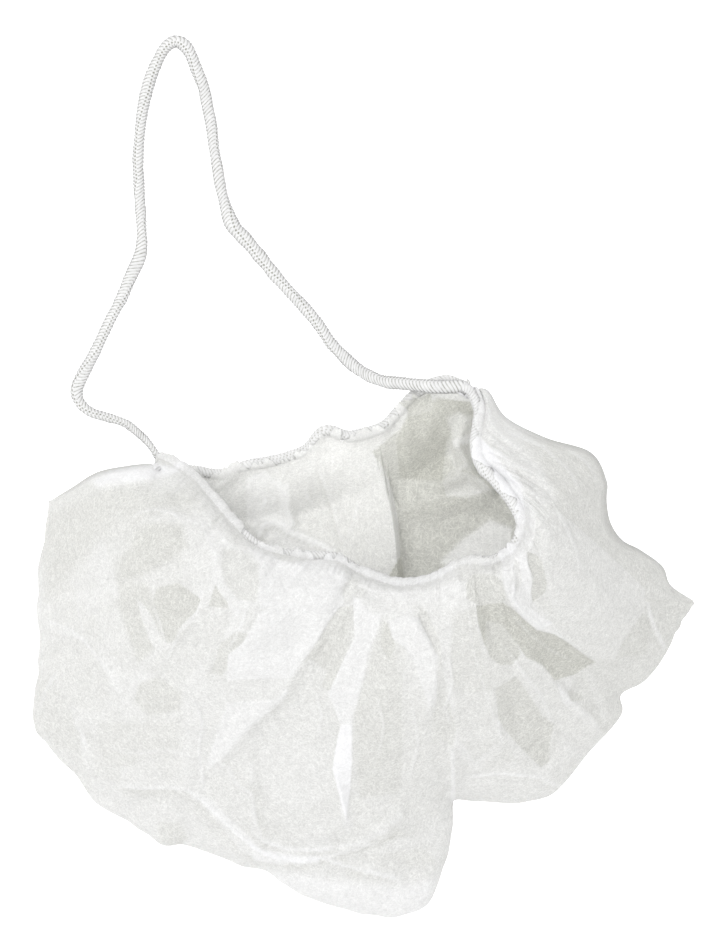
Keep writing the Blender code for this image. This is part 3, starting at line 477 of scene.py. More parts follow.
# lighter places where the cloth lies double and darker ones where it is thin or hollow, the darker ones
# painted shade (shade seen through the one layer, in hollows and under folds) and some lighter ones painted
# light on folds; each laid over
# the ones before it: whiteness, softness of the edge, corners
frontPatches = [
    # right lobe, thinner all over
    (-0.2, 15.7, [(58.3, 78.4), (82.8, 71.4), (96.8, 43.4), (124.8, 18.9), (117.8, -5.6), (89.8, -33.6),
        (79.3, -19.6), (68.8, 8.4), (63.5, 36.4), (56.5, 60.9)]),
    # bright hem by the left corner
    (0.85, 3.1, [(-94, 57.4), (-88, 60.2), (-81.7, 61.6), (-71.2, 62.3), (-64.9, 62.3), (-63.5, 60.2),
        (-71.2, 58.4), (-78.2, 56.7), (-85.2, 55.3), (-92.2, 54.6)]),
    # smooth band by the left edge of the mouth
    (0, 2.6, [(-71.2, 56), (-64.9, 59.1), (-59, 58.1), (-53, 53.2), (-47.4, 47.9), (-40.8, 40.9),
        (-37.6, 34.3), (-43.2, 33.6), (-48.5, 39.2), (-53.7, 42.7), (-59, 46.2), (-67, 49.7)]),
    # thin cloth at the upper left
    (-0.3, 8.4, [(-111.8, 46.2), (-95.7, 53.9), (-83.5, 56), (-73, 54.6), (-59, 53.2), (-57.2, 48.3),
        (-69.5, 46.2), (-84.5, 43.4), (-92.2, 35.7), (-100.6, 25.2), (-109.7, 15.4), (-113.2, 29.4)]),
    # thin place
    (-0.42, 4.2, [(-78.2, 39.9), (-74.7, 42.7), (-62.5, 42), (-60.4, 34.6), (-67, 29.4), (-79.3, 22.8),
        (-84.5, 23.1), (-85.2, 28.7), (-80, 34.6)]),
    # hollow of the left lobe
    (-0.36, 2.8, [(-84.5, 22.8), (-74.7, 21.7), (-71.9, 15.4), (-69.8, 1.4), (-74, -2.8), (-77.9, -5.6),
        (-80.7, 1.4), (-84.5, 13.3)]),
    # its deepest part
    (-0.52, 0.5, [(-71.2, 20.3), (-63.9, 22), (-55.8, 16.4), (-57.6, 12.2), (-62.8, 7.3), (-64.6, 2.4),
        (-67.7, 1), (-70.2, 9.1), (-72.6, 15.4)]),
    # crease in the hollow
    (0.12, 0.7, [(-78.2, 16.4), (-75.8, 14.3), (-72.6, 9.4), (-70.2, 3.5), (-68.8, -1.4), (-71.9, -1),
        (-74, 2.4), (-76.8, 10.5)]),
    # facet under the hollow
    (-0.02, 1.6, [(-77.2, -8.4), (-71.2, -2.8), (-64.2, 1.4), (-55.8, 11.2), (-55.5, -2.1),
        (-60.7, -16.1), (-71.2, -9.8)]),
    # facet at the far left
    (-0.05, 2.1, [(-110.4, 1.4), (-93.6, 1.4), (-88, -9.8), (-90.8, -23.8), (-106.2, -19.6),
        (-112.5, -12.6)]),
    # thin place at the far left
    (-0.14, 2.1, [(-113.9, -9.8), (-106.2, -16.1), (-97.8, -30.1), (-99.2, -37.8), (-107.6, -36.4),
        (-115.3, -25.2)]),
    # thin place under it
    (-0.12, 2.1, [(-92.2, -27.3), (-84.5, -26.6), (-78.2, -35.3), (-78.9, -42.3), (-88, -43.4),
        (-92.2, -36.4)]),
    # grey patch
    (-0.28, 2.1, [(-78.2, -13.3), (-71.2, -10.5), (-62.8, -16.1), (-63.5, -22.4), (-74.7, -24.5),
        (-79.6, -19.6)]),
    # grey band
    (-0.12, 2.1, [(-85.9, -27.3), (-65.6, -26.6), (-64.2, -36.4), (-78.2, -37.1), (-85.2, -32.2)]),
    # light band down the left lobe
    (0.15, 2.1, [(-62.1, -12.6), (-55.8, -5.6), (-52.3, -16.1), (-55.1, -33.6), (-55.8, -51.1),
        (-62.1, -51.8), (-62.1, -26.6)]),
    # bright facet
    (-0.02, 1.6, [(-56.2, 13.3), (-52, 13.3), (-45.3, 12.6), (-46.7, 6.6), (-48.8, 1.4), (-51.6, -4.2),
        (-55.1, -2.8), (-57.2, 4.9)]),
    # wedge between facets
    (-0.3, 0.7, [(-49.2, 1.4), (-43.2, 5.6), (-39, 4.2), (-43.9, -3.8), (-48.8, -10.1), (-52.7, -9.4)]),
    # large bright facet
    (0.5, 0.5, [(-46.7, -2.8), (-41.5, 1.4), (-35.5, 11.9), (-27.5, 15.4), (-6.1, 16.1), (-9.6, 11.2),
        (-15.2, 3.1), (-21.5, -5.6), (-27.5, -13.6), (-35.5, -23.1), (-43.2, -31.8), (-49.5, -39.5),
        (-52.7, -37.1), (-49.5, -28.3), (-47.4, -21.3), (-47.4, -16.1)]),
    # grey band across it
    (0.12, 0.9, [(-52.3, -12.2), (-41.5, -11.5), (-25, -10.8), (-27.8, -15.4), (-31, -18.5),
        (-46, -19.6), (-51.6, -19.6)]),
    # bright tongue
    (0.45, 0.5, [(-46, -19.9), (-35.5, -19.6), (-29.6, -18.5), (-35.5, -23.4), (-43.2, -31.8),
        (-49.2, -39.5), (-52, -37.1), (-48.8, -28.3)]),
    # bright hem at the front left
    (0.5, 1.4, [(-39.7, 34.3), (-32.7, 31.8), (-25.7, 29), (-18.7, 29.7), (-11.7, 30.8), (-6.5, 25.5),
        (-3.3, 18.9), (-6.5, 15.4), (-22.2, 15), (-35.5, 13.3), (-36.9, 21.7), (-35.5, 28.7)]),
    # pocket
    (-0.15, 1.6, [(-48.1, 33.9), (-41.5, 33.2), (-36.6, 29), (-35.5, 22.4), (-36.9, 15.4),
        (-43.2, 16.1), (-47.1, 20.6), (-49.2, 27.6)]),
    # curved crease round the pocket
    (0.25, 0.9, [(-51.3, 29.4), (-49.2, 29.4), (-47.4, 21.7), (-43.2, 16.4), (-35.5, 15.4),
        (-35.5, 13.3), (-43.2, 12.9), (-49.9, 18.2)]),
    # dark wedge left of it
    (-0.45, 0.5, [(-53.4, 14), (-50.9, 21.7), (-49.5, 18.9), (-46.7, 15.4), (-46.4, 13.3)]),
    # thin place over the outer fold
    (0.15, 2.1, [(-93.6, -45.8), (-83.5, -49.7), (-69.5, -52.5), (-55.5, -60.9), (-49.5, -69.3),
        (-37.6, -76.3), (-43.2, -77), (-64.2, -72.4), (-71.9, -70.7), (-79.6, -64.4), (-89.4, -59.1),
        (-96.4, -53.9)]),
    # shade under the bottom crease
    (0.05, 0.7, [(-85.2, -49.7), (-71.2, -50.8), (-62.1, -52.1), (-55.8, -56.3), (-49.2, -63.7),
        (-42.2, -71.8), (-45.3, -72.8), (-52.3, -66.8), (-59.3, -59.1), (-71.2, -54.9),
        (-83.5, -52.8)]),
    # shade over the outer fold
    (-0.22, 2.1, [(-71.9, -62.3), (-64.2, -61.6), (-61.4, -67.9), (-65.6, -71.4), (-71.2, -70)]),
    # bottom crease, left
    (0.4, 0.7, [(-56.2, -52.1), (-52.3, -54.2), (-44.6, -62.3), (-38.3, -67.9), (-36.9, -74.9),
        (-42.9, -71.8), (-49.2, -63.7), (-56.5, -55.3)]),
    # bottom crease, middle
    (0.75, 1, [(-39.7, -67.9), (-35.5, -71.4), (-22.2, -73.5), (-14.5, -72.4), (-15.9, -76.3),
        (-29.2, -76.6), (-38, -75.2)]),
    # shade under the bottom crease, right
    (0.12, 0.9, [(0.9, -69.3), (12.8, -66.5), (23.3, -65.5), (27.5, -67.2), (16.3, -71.4),
        (-8.2, -74.2), (-22.2, -73.1), (-11.7, -71.4)]),
    # thin lower edge
    (0.55, 4.9, [(-36.9, -78.4), (-22.2, -79.8), (-8.2, -82.6), (12.8, -84), (26.8, -81.2),
        (21.2, -95.2), (9.3, -96.6), (-8.2, -93.8), (-25.7, -86.1), (-41.5, -79.8)]),
    # grey patch near the bottom
    (0.05, 2.1, [(-43.2, -46.9), (-35.5, -49), (-30.3, -54.6), (-33.1, -58.4), (-38.3, -57.4),
        (-42.2, -52.5)]),
    # middle facet
    (0.02, 3.1, [(-28.5, -19.6), (-14.5, -19.6), (-9.6, -28), (-11, -40.6), (-9.6, -54.6),
        (-22.2, -67.2), (-33.4, -65.1), (-37.6, -51.1), (-35.5, -33.6)]),
    # light patch in the middle facet
    (0.12, 2.1, [(-35.5, -34.3), (-22.2, -32.9), (-11.7, -37.8), (-11.7, -51.1), (-22.2, -58.8),
        (-32, -54.6), (-35.5, -47.6)]),
    # hollow left of the spine
    (-0.32, 0.5, [(-4, 14.3), (-2.6, 14.3), (-3, 3.1), (-5.8, -2.1), (-8.9, -9.1), (-11.7, -15.4),
        (-14.5, -14), (-12.8, -8.4), (-18, -4.5), (-21.2, -6.3), (-15.9, 1.4), (-11.7, 9.1),
        (-8.2, 13.6)]),
    # hollow's lower edge
    (-0.06, 1.6, [(-21.2, -6.3), (-18, -4.5), (-12.8, -8.4), (-14.5, -14), (-18, -17.5), (-25.7, -16.1),
        (-27.1, -14)]),
    # grey patch under the hem
    (-0.05, 0.9, [(-7.2, 20.3), (-4, 23.8), (4, 23.8), (3, 18.9), (-2.6, 15.4), (-6.5, 14.7)]),
    # soft side of the spine
    (0.1, 4.7, [(-2.6, 15.4), (7.2, 13.3), (7.9, 6.6), (5.8, -3.8), (2.3, -16.1), (-0.5, -27.3),
        (-5.4, -28), (-7.5, -19.6), (-4.7, -2.1)]),
    # spine
    (0.5, 0.5, [(-3.7, 17.5), (5.1, 14.7), (6.1, 10.5), (4.4, 4.2), (1.6, -2.1), (-0.2, -13.3),
        (-2.3, -20.3), (-4, -27.3), (-6.5, -28), (-8.2, -26.6), (-10, -21.3), (-12.4, -16.1),
        (-8.9, -10.8), (-5.8, -2.8), (-3, 2.8), (-3.3, 11.2)]),
    # white pleat
    (1.15, 0.5, [(-7.9, -27.3), (-4, -27.3), (-4, -40.6), (-4.7, -51.1), (-6.1, -60.5), (-7.5, -55.3),
        (-8.9, -49.7), (-10.7, -42.7), (-9.6, -35.3)]),
    # dim facet right of the spine
    (-0.25, 2.1, [(6.8, 9.8), (8.6, 7.7), (10.3, 4.2), (11.4, -3.8), (13.5, -16.1), (14.2, -33.6),
        (12.8, -51.1), (-1.2, -53.2), (-3.3, -35.3), (-3.3, -23.8), (0.9, -9.8), (3.7, 1.4)]),
    # dark lens in it
    (-0.5, 0.7, [(7.2, 8.8), (10, 5.2), (11, -0.3), (8.6, -4.5), (5.8, 1)]),
    # grey facet
    (-0.06, 2.6, [(13.5, -16.1), (19.8, -14), (23.3, -25.2), (27.5, -33.6), (28.9, -51.1),
        (26.8, -58.8), (14.2, -58.8), (14.2, -33.6)]),
    # hem at the front middle
    (0.2, 1.6, [(-0.5, 15.4), (3, 21.7), (12.8, 20.6), (23.3, 19.6), (32, 20.6), (35.2, 22.4),
        (36.2, 18.9), (34.5, 15.4), (26.8, 11.5), (24, 8.4), (21.5, 13.3), (18, 15.4), (14.5, 11.5),
        (7.5, 10.8), (3, 11.2)]),
    # bright fold
    (0.4, 0.7, [(8.6, 9.1), (14.5, 11.2), (19.1, 10.1), (22.6, 3.1), (26.1, -2.1), (24.7, -5.6),
        (25.7, -16.1), (26.4, -21.7), (22.6, -20.3), (19.8, -12.6), (17.7, -5.6), (14.2, -0.3),
        (10, 3.1)]),
    # dark lens beside it
    (-0.22, 0.5, [(19.4, 13.6), (21.9, 11.9), (24.3, 6.3), (27.1, -0.7), (27.1, -3.5), (25, -2.1),
        (22.6, 2.8), (19.8, 8.4)]),
    # light strip
    (0.14, 0.7, [(23.3, 13.3), (28.5, 14.7), (30.6, 6.6), (29.2, -2.1), (31.3, -12.9), (29.2, -16.1),
        (27.1, -6.3), (26.4, 1.4), (24.7, 7.7)]),
    # grey strip
    (-0.2, 1.6, [(31, 11.2), (38.7, 14), (39.4, 6.6), (41.1, -2.1), (44.6, -12.6), (45, -19.6),
        (40.8, -16.1), (34.5, -16.1), (31, -12.6), (30.3, -2.1)]),
    # light facet
    (-0.05, 0.9, [(37.3, -16.1), (44.3, -15.4), (46, -19.6), (46.7, -30.4), (47.8, -34.3),
        (40.8, -32.2), (34.5, -32.2), (31, -23.8), (32, -19.6)]),
    # shade between facets
    (-0.22, 1.6, [(26.1, -13.3), (29.6, -19.6), (32.4, -27.3), (31.3, -35.7), (26.8, -32.5),
        (23.6, -33.9), (24, -23.1)]),
    # pocket under the right hem
    (-0.42, 0.9, [(35.2, 21.7), (37.3, 25.2), (44.3, 25.2), (47.8, 22.4), (48.8, 16.8), (47.8, 14.7),
        (39, 14.7), (35.5, 16.8)]),
    # shadow band
    (-0.95, 0.5, [(38.7, 14.3), (47.8, 15.4), (50.6, 13.6), (54.8, 10.1), (60, 5.6), (66, 4.2),
        (70.5, 1.4), (77.5, -3.8), (80.7, -5.9), (75.8, -8.4), (74, -9.8), (68.8, -11.2), (66, -12.2),
        (63.5, -9.8), (60, -5.6), (56.5, -4.2), (53, 1), (49.5, 2.8), (47.8, 1.4), (44.3, -4.2),
        (41.5, 1.4), (39.4, 8.4)]),
    # crumpled shade
    (-0.6, 0.5, [(42.2, 9.1), (47.8, 7.7), (53, 1), (54.4, -2.8), (51.3, -6.3), (47.1, -6.3),
        (44.3, -4.2), (41.8, 1.4)]),
    # light strip by the shadow band
    (-0.04, 0.7, [(54.4, -2.8), (57.2, -4.2), (61.8, -6.3), (67, -12.6), (69.1, -19.6), (74.4, -24.8),
        (83.5, -31.5), (79.3, -35.7), (72.3, -33.9), (67, -27.6), (61.8, -25.2), (56.9, -16.1),
        (52, -7)]),
    # dark facet
    (-0.5, 0.7, [(45.7, -14.7), (52.7, -10.5), (56.9, -16.1), (62.1, -24.5), (66.3, -27.6),
        (64.9, -33.6), (64.9, -40.6), (61.8, -42.7), (54.8, -35.7), (49.5, -29.7), (46.7, -25.2)]),
    # right hem of the lower edge
    (0.05, 2.1, [(32.4, -44.8), (40.8, -43.4), (47.8, -46.2), (61.8, -43.4), (69.5, -49), (63.5, -53.2),
        (51.3, -54.9), (40.8, -55.3), (33.8, -55.3)]),
    # facet by the right corner of the lower edge
    (-0.2, 1.6, [(74, -9.8), (79.3, -6.3), (87, -5.9), (96.8, -3.8), (103.8, -3.8), (100.3, -10.1),
        (96.8, -12.9), (90.5, -17.1), (89.1, -21.7), (90.5, -25.2), (86.3, -30.4), (83.5, -31.5),
        (80, -24.8), (76.5, -19.6), (71.6, -16.1)]),
    # light crease in it
    (-0.1, 0.7, [(76.8, -9.8), (80, -9.8), (83.8, -21.3), (87.3, -25.2), (84.2, -27.6), (80.7, -19.6)]),
    # dark spot
    (-0.4, 0.5, [(70.9, -15.7), (75.8, -16.8), (76.8, -19.2), (72.3, -19.6)]),
    # bright lens
    (0.5, 0.7, [(48.1, 34.6), (54.8, 34.6), (56.5, 29.4), (58.3, 20.6), (57.6, 13.6), (61.8, 10.1),
        (65.6, 8), (60, 5.6), (54.8, 10.1), (50.6, 15), (48.1, 21.7), (47.4, 29.4)]),
    # dent in the bright lens
    (0.12, 0.7, [(51.6, 30.8), (53.4, 29.4), (54.4, 22.4), (52.7, 18.9), (51.3, 23.1)]),
    # dark lens
    (-0.48, 0.5, [(56.2, 32.9), (61.8, 31.1), (63.5, 25.9), (62.5, 18.9), (58.3, 15.4), (57.6, 18.9),
        (58.3, 24.1), (56.5, 28.7)]),
    # bright middle of the right lobe
    (0, 0.7, [(60, 48.6), (67.4, 46.2), (74, 41.3), (82.8, 33.6), (91.5, 25.9), (97.8, 19.6),
        (97.8, 11.2), (89.8, 1.4), (87.3, -4.9), (80, -4.2), (74.4, 1), (69.5, 6.6), (66, 11.9),
        (63.5, 20.6), (61.1, 29.4), (57.6, 34.6), (57.6, 43.4)]),
    # thin outer part of the right lobe
    (-0.26, 0.7, [(63.5, 72.1), (79.3, 68.2), (83.5, 60.9), (84.9, 50.4), (87.3, 39.9), (95, 34.6),
        (104.5, 29), (117.8, 16.1), (97.8, 19.6), (91.5, 25.9), (82.8, 33.6), (74, 41.3), (68.8, 46.2),
        (66, 53.9), (61.8, 64.4)]),
    # tip of the right lobe
    (-0.28, 0.7, [(98.2, 16.1), (115, 15.4), (110.8, 1.4), (104.5, -2.8), (100.3, 1.4), (97.5, 9.1)]),
    # crease at the tip
    (-0.05, 0.5, [(97.8, 15.4), (99.6, 15), (101, 8.4), (105.9, -1.4), (104.1, -2.1), (99.6, 7.7)]),
    # warm wedge
    (-0.36, 0.7, [(96.8, 11.9), (99.6, 8.4), (99.2, -2.8), (87.7, -4.5), (89.8, 1.4)]),
    # lower part of the right lobe
    (-0.05, 0.9, [(66, 7.7), (70.9, 8.4), (82.8, 10.5), (96.8, 15.4), (97.1, 11.5), (90.1, 1.4),
        (87.3, -4.9), (80, -4.2), (74.4, 1), (70.9, 4.5)]),
    # frilled band, upper
    (0.2, 2.1, [(35.2, 89.6), (42.5, 88.9), (49.5, 80.1), (54.8, 67.9), (47.8, 66.1), (42.5, 71.4),
        (40.1, 76.6), (37.3, 81.9)]),
    # gathered cloth beside it
    (0.1, 2.6, [(54.8, 67.9), (61.8, 60.9), (66, 50.4), (60, 47.6), (57.6, 43.4), (56.2, 53.9),
        (51.3, 63.7)]),
    # frilled band, lower
    (0.35, 1, [(39.4, 71.4), (47.8, 67.2), (53.4, 59.1), (56.9, 50.4), (59, 43.4), (58.3, 34.6),
        (47.8, 34.6), (52, 43.4), (49.5, 51.4), (45, 57.4), (40.8, 63.7)]),
    # white cloth below the front edge
    (0.3, 2.6, [(-0.5, 25.2), (7.5, 21.3), (16.3, 19.6), (25, 20.3), (32.4, 23.1), (34.8, 20.6),
        (32, 17.5), (23.3, 15), (12.8, 15), (4.4, 17.5), (-1.2, 21)]),
    # white hem right of the mouth
    (1, 0.9, [(34.5, 95.9), (38.7, 93.1), (41.1, 82.6), (39, 74.2), (46, 65.1), (54.1, 55.3),
        (55.5, 45.5), (52.3, 37.1), (47.8, 33.6), (49.5, 45.1), (47.1, 53.9), (40.8, 63.7),
        (35.9, 71.4), (33.1, 81.9), (31, 90.6)]),
]
# inside the mouth the darker patches are painted shade of the hollow, the lighter ones painted light on its
# folds
backPatches = [
    # left hollow
    (0.35, 0.5, [(-40.8, 58.1), (-34.5, 60.5), (-29.6, 56.7), (-28.9, 46.9), (-30.3, 43), (-35.5, 41.3),
        (-37.3, 37.8), (-40.8, 43.4)]),
    # ridge in it
    (0.5, 1.4, [(-30.3, 57.4), (-25.7, 56), (-25.7, 47.6), (-23.6, 41.3), (-26.8, 39.9), (-29.6, 43),
        (-28.9, 50.4)]),
    # second hollow
    (0, 0.5, [(-25.7, 57.4), (-20.1, 58.4), (-14.5, 56.3), (-11, 47.6), (-10.3, 37.1), (-14.5, 36.4),
        (-22.9, 40.6), (-26.1, 46.9)]),
    # curled fold
    (0.7, 0.5, [(-37.3, 37.8), (-35.9, 42), (-31, 43.4), (-26.4, 40.6), (-20.1, 38.1), (-9.6, 32.9),
        (-11, 31.8), (-20.8, 36), (-27.5, 38.8), (-31.3, 41.3), (-34.8, 40.2), (-35.9, 37.4)]),
    # cloth under the curl
    (0.4, 0.7, [(-35.5, 38.5), (-31.3, 40.6), (-27.5, 38.1), (-20.8, 35.3), (-9.6, 30.8), (-11.7, 29.4),
        (-22.2, 30.8), (-32, 33.6)]),
    # fold that rises to the front edge
    (0.03, 0.7, [(-22.2, 69.3), (-11.7, 72.1), (-4.7, 70), (3, 66.8), (7.5, 59.5), (10.3, 50.4),
        (12.1, 39.9), (13.1, 28.7), (11.4, 21), (-1.2, 18.9), (-6.5, 27.3), (-8.9, 35.7), (-10.7, 50.4),
        (-13.5, 55.6), (-22.2, 60.9), (-32.7, 62.3)]),
    # its right side
    (0.05, 2.1, [(4.4, 44.1), (11.4, 43.4), (12.8, 29.4), (7.9, 27.3), (5.1, 34.6)]),
    # deep hollow
    (-0.66, 0.5, [(3, 67.2), (12.8, 74.9), (16.3, 82.6), (26.8, 86.1), (38.7, 84), (40.8, 64.4),
        (47.8, 55.6), (53.4, 43.4), (51.3, 29.4), (33.8, 18.9), (11.4, 18.9), (13.1, 28.7),
        (12.1, 43.4), (10, 53.9), (7.5, 60.9)]),
    # its upper part
    (-1.1, 0.7, [(11.4, 71.4), (17, 81.2), (26.8, 85.4), (37.3, 84.7), (38.7, 78.4), (28.9, 71.4),
        (27.5, 57.4), (12.8, 58.1)]),
    # bump at the back edge
    (-0.82, 0.7, [(13.8, 84), (23.3, 87.5), (24.7, 81.9), (17, 79.4)]),
    # bumps at the right
    (-0.3, 2.6, [(28.9, 79.1), (33.1, 81.2), (38.7, 79.8), (38, 74.2), (39.4, 68.6), (38, 60.9),
        (32, 61.6), (29.2, 67.2), (31, 72.1)]),
    # shade between them
    (0.4, 0.5, [(31, 71.4), (37.3, 73.5), (38.3, 71), (31.7, 68.9)]),
    # fold across the hollow
    (-0.22, 0.5, [(27.8, 56.7), (33.1, 60.9), (42.2, 57.4), (44.6, 53.9), (37.3, 50.8), (28.9, 51.8)]),
    # light band by the front edge
    (0.25, 2.1, [(26.8, 28.7), (34.5, 36.4), (44.3, 43.4), (52, 40.6), (51.3, 28.7), (37.3, 24.1)]),
    # darkest place
    (-1.15, 0.5, [(13.1, 30.8), (14.5, 20.3), (10, 20.3), (9.3, 24.5), (11.4, 28.3)]),
]
# thin creases: whiteness along the line (a painted highlight), whiteness beside it (painted shade where
# below 0), how far that reaches, towards which side, places along the line
frontCreases = [
    # bottom crease
    (0.3, -0.46, 2.1, (-0.37, -0.93), [(-84.9, -49.3), (-76.8, -50), (-67.7, -49.7), (-61.1, -50.4),
        (-56.2, -54.2), (-48.5, -61.6), (-43.2, -66.5), (-38.7, -70.3), (-32.4, -73.8), (-21.2, -75.6),
        (-14.9, -74.5), (-5.4, -71.8), (4, -68.6), (12.1, -64.4)]),
    # bottom crease, upper line
    (0.42, -0.34, 1.4, (0, -1), [(-37.3, -67.9), (-27.5, -71), (-14.9, -71.4), (0.9, -68.6),
        (11.4, -62.6)]),
    # shade over it
    (0, -0.38, 1.4, (0, 1), [(-13.5, -72.1), (0.9, -69.6), (20.1, -66.8)]),
    # crease of the back layer
    (0.6, -0.17, 1.4, (0, -1), [(-15.9, -73.8), (-5.4, -77.3), (13.5, -81.9)]),
    # crease below the tongue
    (0.21, -0.26, 2.4, (1, 0), [(-52.7, -39.9), (-46.7, -42.3), (-44.3, -47.9), (-38.7, -51.8),
        (-37.3, -62.3), (-34.1, -69.3)]),
    # crease at the lower left
    (0.42, -0.17, 1.4, (1, 0), [(-101.3, -24.5), (-98.5, -30.1), (-95.7, -37.8)]),
    # crease at the far left
    (0.36, 0, 1, (1, 0), [(-111.8, 9.1), (-101.7, 5.2), (-96.4, 1), (-91.9, -4.5), (-87.3, -11.2)]),
    # crease in the left lobe
    (0.18, -0.1, 1.4, (1, 0), [(-98.5, 19.6), (-99.2, 14), (-97.1, 1.4)]),
    # crease through the middle facet
    (0.24, -0.17, 1, (1, 0), [(-16.6, -16.1), (-14.5, -23.8), (-15.9, -33.6)]),
    # upright crease left of the middle
    (0.24, -0.1, 1.8, (1, 0), [(-58.6, -17.5), (-55.8, -26.6), (-57.2, -37.1), (-55.1, -51.1)]),
    # crease right of the middle
    (0.21, -0.17, 1.4, (1, 0), [(29.2, -2.1), (31, -12.6), (28.2, -21.7), (31, -28.7)]),
    # crease at the tip
    (0.36, -0.13, 0.9, (-1, 0), [(98.5, 15), (101, 7.7), (105.9, -2.1)]),
    # wrinkle beside the mouth
    (0.06, -0.38, 0.9, (0.45, -0.89), [(42.9, 73.5), (48.8, 67.9), (56.2, 62.3)]),
    # second wrinkle beside the mouth
    (0.06, -0.34, 0.9, (0.45, -0.89), [(45.7, 65.8), (52, 62.3), (60.4, 59.5)]),
    # wrinkle of the right lobe
    (0.27, -0.13, 1, (0, -1), [(49.5, 74.2), (61.8, 68.9), (70.9, 60.9), (75.1, 53.2)]),
    # wrinkle in the right lobe
    (0.21, -0.17, 1, (1, 0), [(64.6, 50.4), (68.8, 43.4), (73, 34.3), (75.1, 25.2)]),
    # crease from the lower border
    (0.24, -0.13, 1, (0.71, -0.71), [(47.8, 1.4), (54.8, -8.4), (61.8, -17.5), (66.3, -27.6)]),
    # crease of the right hem
    (0.36, -0.17, 1, (0, -1), [(34.5, -46.2), (47.8, -44.8), (61.8, -46.2), (70.9, -51.1)]),
    # crease in the left middle
    (0.21, -0.17, 1.4, (1, 0), [(-39.7, 15.4), (-41.8, 7.7), (-47.4, -2.8)]),
    # arc over the thin place
    (0.24, -0.17, 1, (0.71, -0.71), [(-81, 42.7), (-77.5, 46.2), (-71.9, 47.6), (-65.6, 46.2),
        (-60.7, 42)]),
    # crease under the bright facet
    (0.24, -0.21, 1, (1, 0), [(-62.8, 9.1), (-64.9, 1.4), (-69.1, -7)]),
    # low crease of the left lobe
    (0.18, -0.17, 1.4, (0, -1), [(-90.8, -35), (-81.7, -37.8), (-68.4, -36.4), (-58.6, -39.2)]),
    # crease in the dim facet
    (0.18, -0.26, 1, (1, 0), [(4.4, -16.1), (7.2, -27.3), (5.1, -39.2)]),
    # crease in the grey facet
    (0.18, -0.17, 1, (1, 0), [(17, -19.6), (19.1, -33.6), (16.3, -46.2)]),
    # pleat right of the bright fold
    (0.12, -0.12, 1.4, (1, 0), [(35.9, 15.4), (37.3, 1.4), (42.2, -16.1), (47.1, -30.1)]),
    # crease in the bright lens
    (0.21, -0.21, 1, (-1, 0), [(49.9, 32.2), (52, 24.5), (51.3, 16.8), (55.5, 10.5)]),
    # crease in the shadow band
    (0.21, -0.26, 1, (0, -1), [(50.6, 11.2), (58.3, 3.5), (66, -2.1), (73, -5.6)]),
    # crease of the thin outer part
    (0.21, -0.13, 1, (0.71, -0.71), [(83.5, 59.5), (87, 49), (94.7, 36.4)]),
    # fold near the shoulder
    (0.24, -0.17, 1, (0, -1), [(68.8, 69.3), (77.2, 63.7), (81.4, 56)]),
    # crease above the outer fold
    (0.3, -0.17, 1, (-0.71, -0.71), [(-106.2, -8.4), (-111.1, -16.1), (-113.2, -23.8)]),
]
backCreases = [
    # left edge of the broad fold
    (0.2, -0.42, 1, (-1, 0), [(-16.6, 63.7), (-13.5, 56), (-10.7, 48.3), (-8.9, 40.6), (-6.8, 33.6)]),
    # left side of the ridge
    (0.1, -0.42, 0.9, (-1, 0), [(-30.3, 56.7), (-28.9, 50.4), (-29.2, 43.4)]),
    # line of the curl
    (0.2, -0.3, 0.9, (0, -1), [(-36.6, 39.2), (-34.1, 42.7), (-30.3, 43.4), (-26.1, 40.6),
        (-20.1, 38.1), (-10.3, 33.2)]),
    # dark crease
    (0.06, -0.59, 0.9, (0, -1), [(12.8, 46.9), (19.8, 48.6), (26.8, 50), (40.1, 51.8)]),
    # edge of the fold across the hollow
    (0.42, -0.51, 1, (0.29, -0.96), [(27.1, 56), (30.3, 59.5), (33.1, 61.2), (38, 62.6)]),
    # lower edge of that fold
    (0.3, -0.42, 1, (0, -1), [(28.9, 52.5), (37.3, 52.5), (45, 54.6)]),
    # crease in the broad fold
    (0.36, 0, 1, (1, 0), [(-1.9, 51.1), (-3.3, 43.4), (-6.5, 34.6)]),
    # crease in the left hollow
    (0.36, -0.34, 1, (1, 0), [(-35.5, 55.3), (-34.1, 50.4), (-36.2, 45.5)]),
    # crease in the second hollow
    (0.36, -0.42, 1, (0.96, -0.29), [(-21.2, 56), (-19.4, 51.1), (-15.9, 46.2)]),
    # crease under the back edge
    (0.18, -0.42, 1, (0, -1), [(14.2, 79.1), (21.2, 81.2), (26.8, 84.7)]),
]
# slack creases between the main folds, as flat facets between random peaks
crumple = {
    # spacing, height, whiteness, seed
    "sets": [(26, 2, 0.1, 31), (13, 1.1, 0.08, 32), (6, 0.5, 0.03, 33)],
    "area": [(-125, -105), (125, 100)],
    "jitter": 0.42,  # how far a peak lies from its even place, as a share of the spacing
}
# ridges that run out from the elastic
gatherLooks = {
    "waves": [(2.4, 0.8, 6), (5.3, 1.2, 13), (13.5, 1.6, 32)],  # pitch, height, how far they reach
    "jitter": 0.35,  # how far a ridge lies from its even place, as a share of the pitch
    "strength": (0.35, 1),  # least and most share of the height that a ridge gets
    "reach": (0.6, 1.4),  # and of how far it reaches
    "fall": 1.5,  # how suddenly a ridge ends
    "tone": 0.18,  # painted light and shade: how much whiter its top is, and darker its valleys
    "toneReach": 12,  # how far out from the elastic that shows
    "start": (0.2, 3),  # how far out from the elastic the ridges start and are at their full height
}
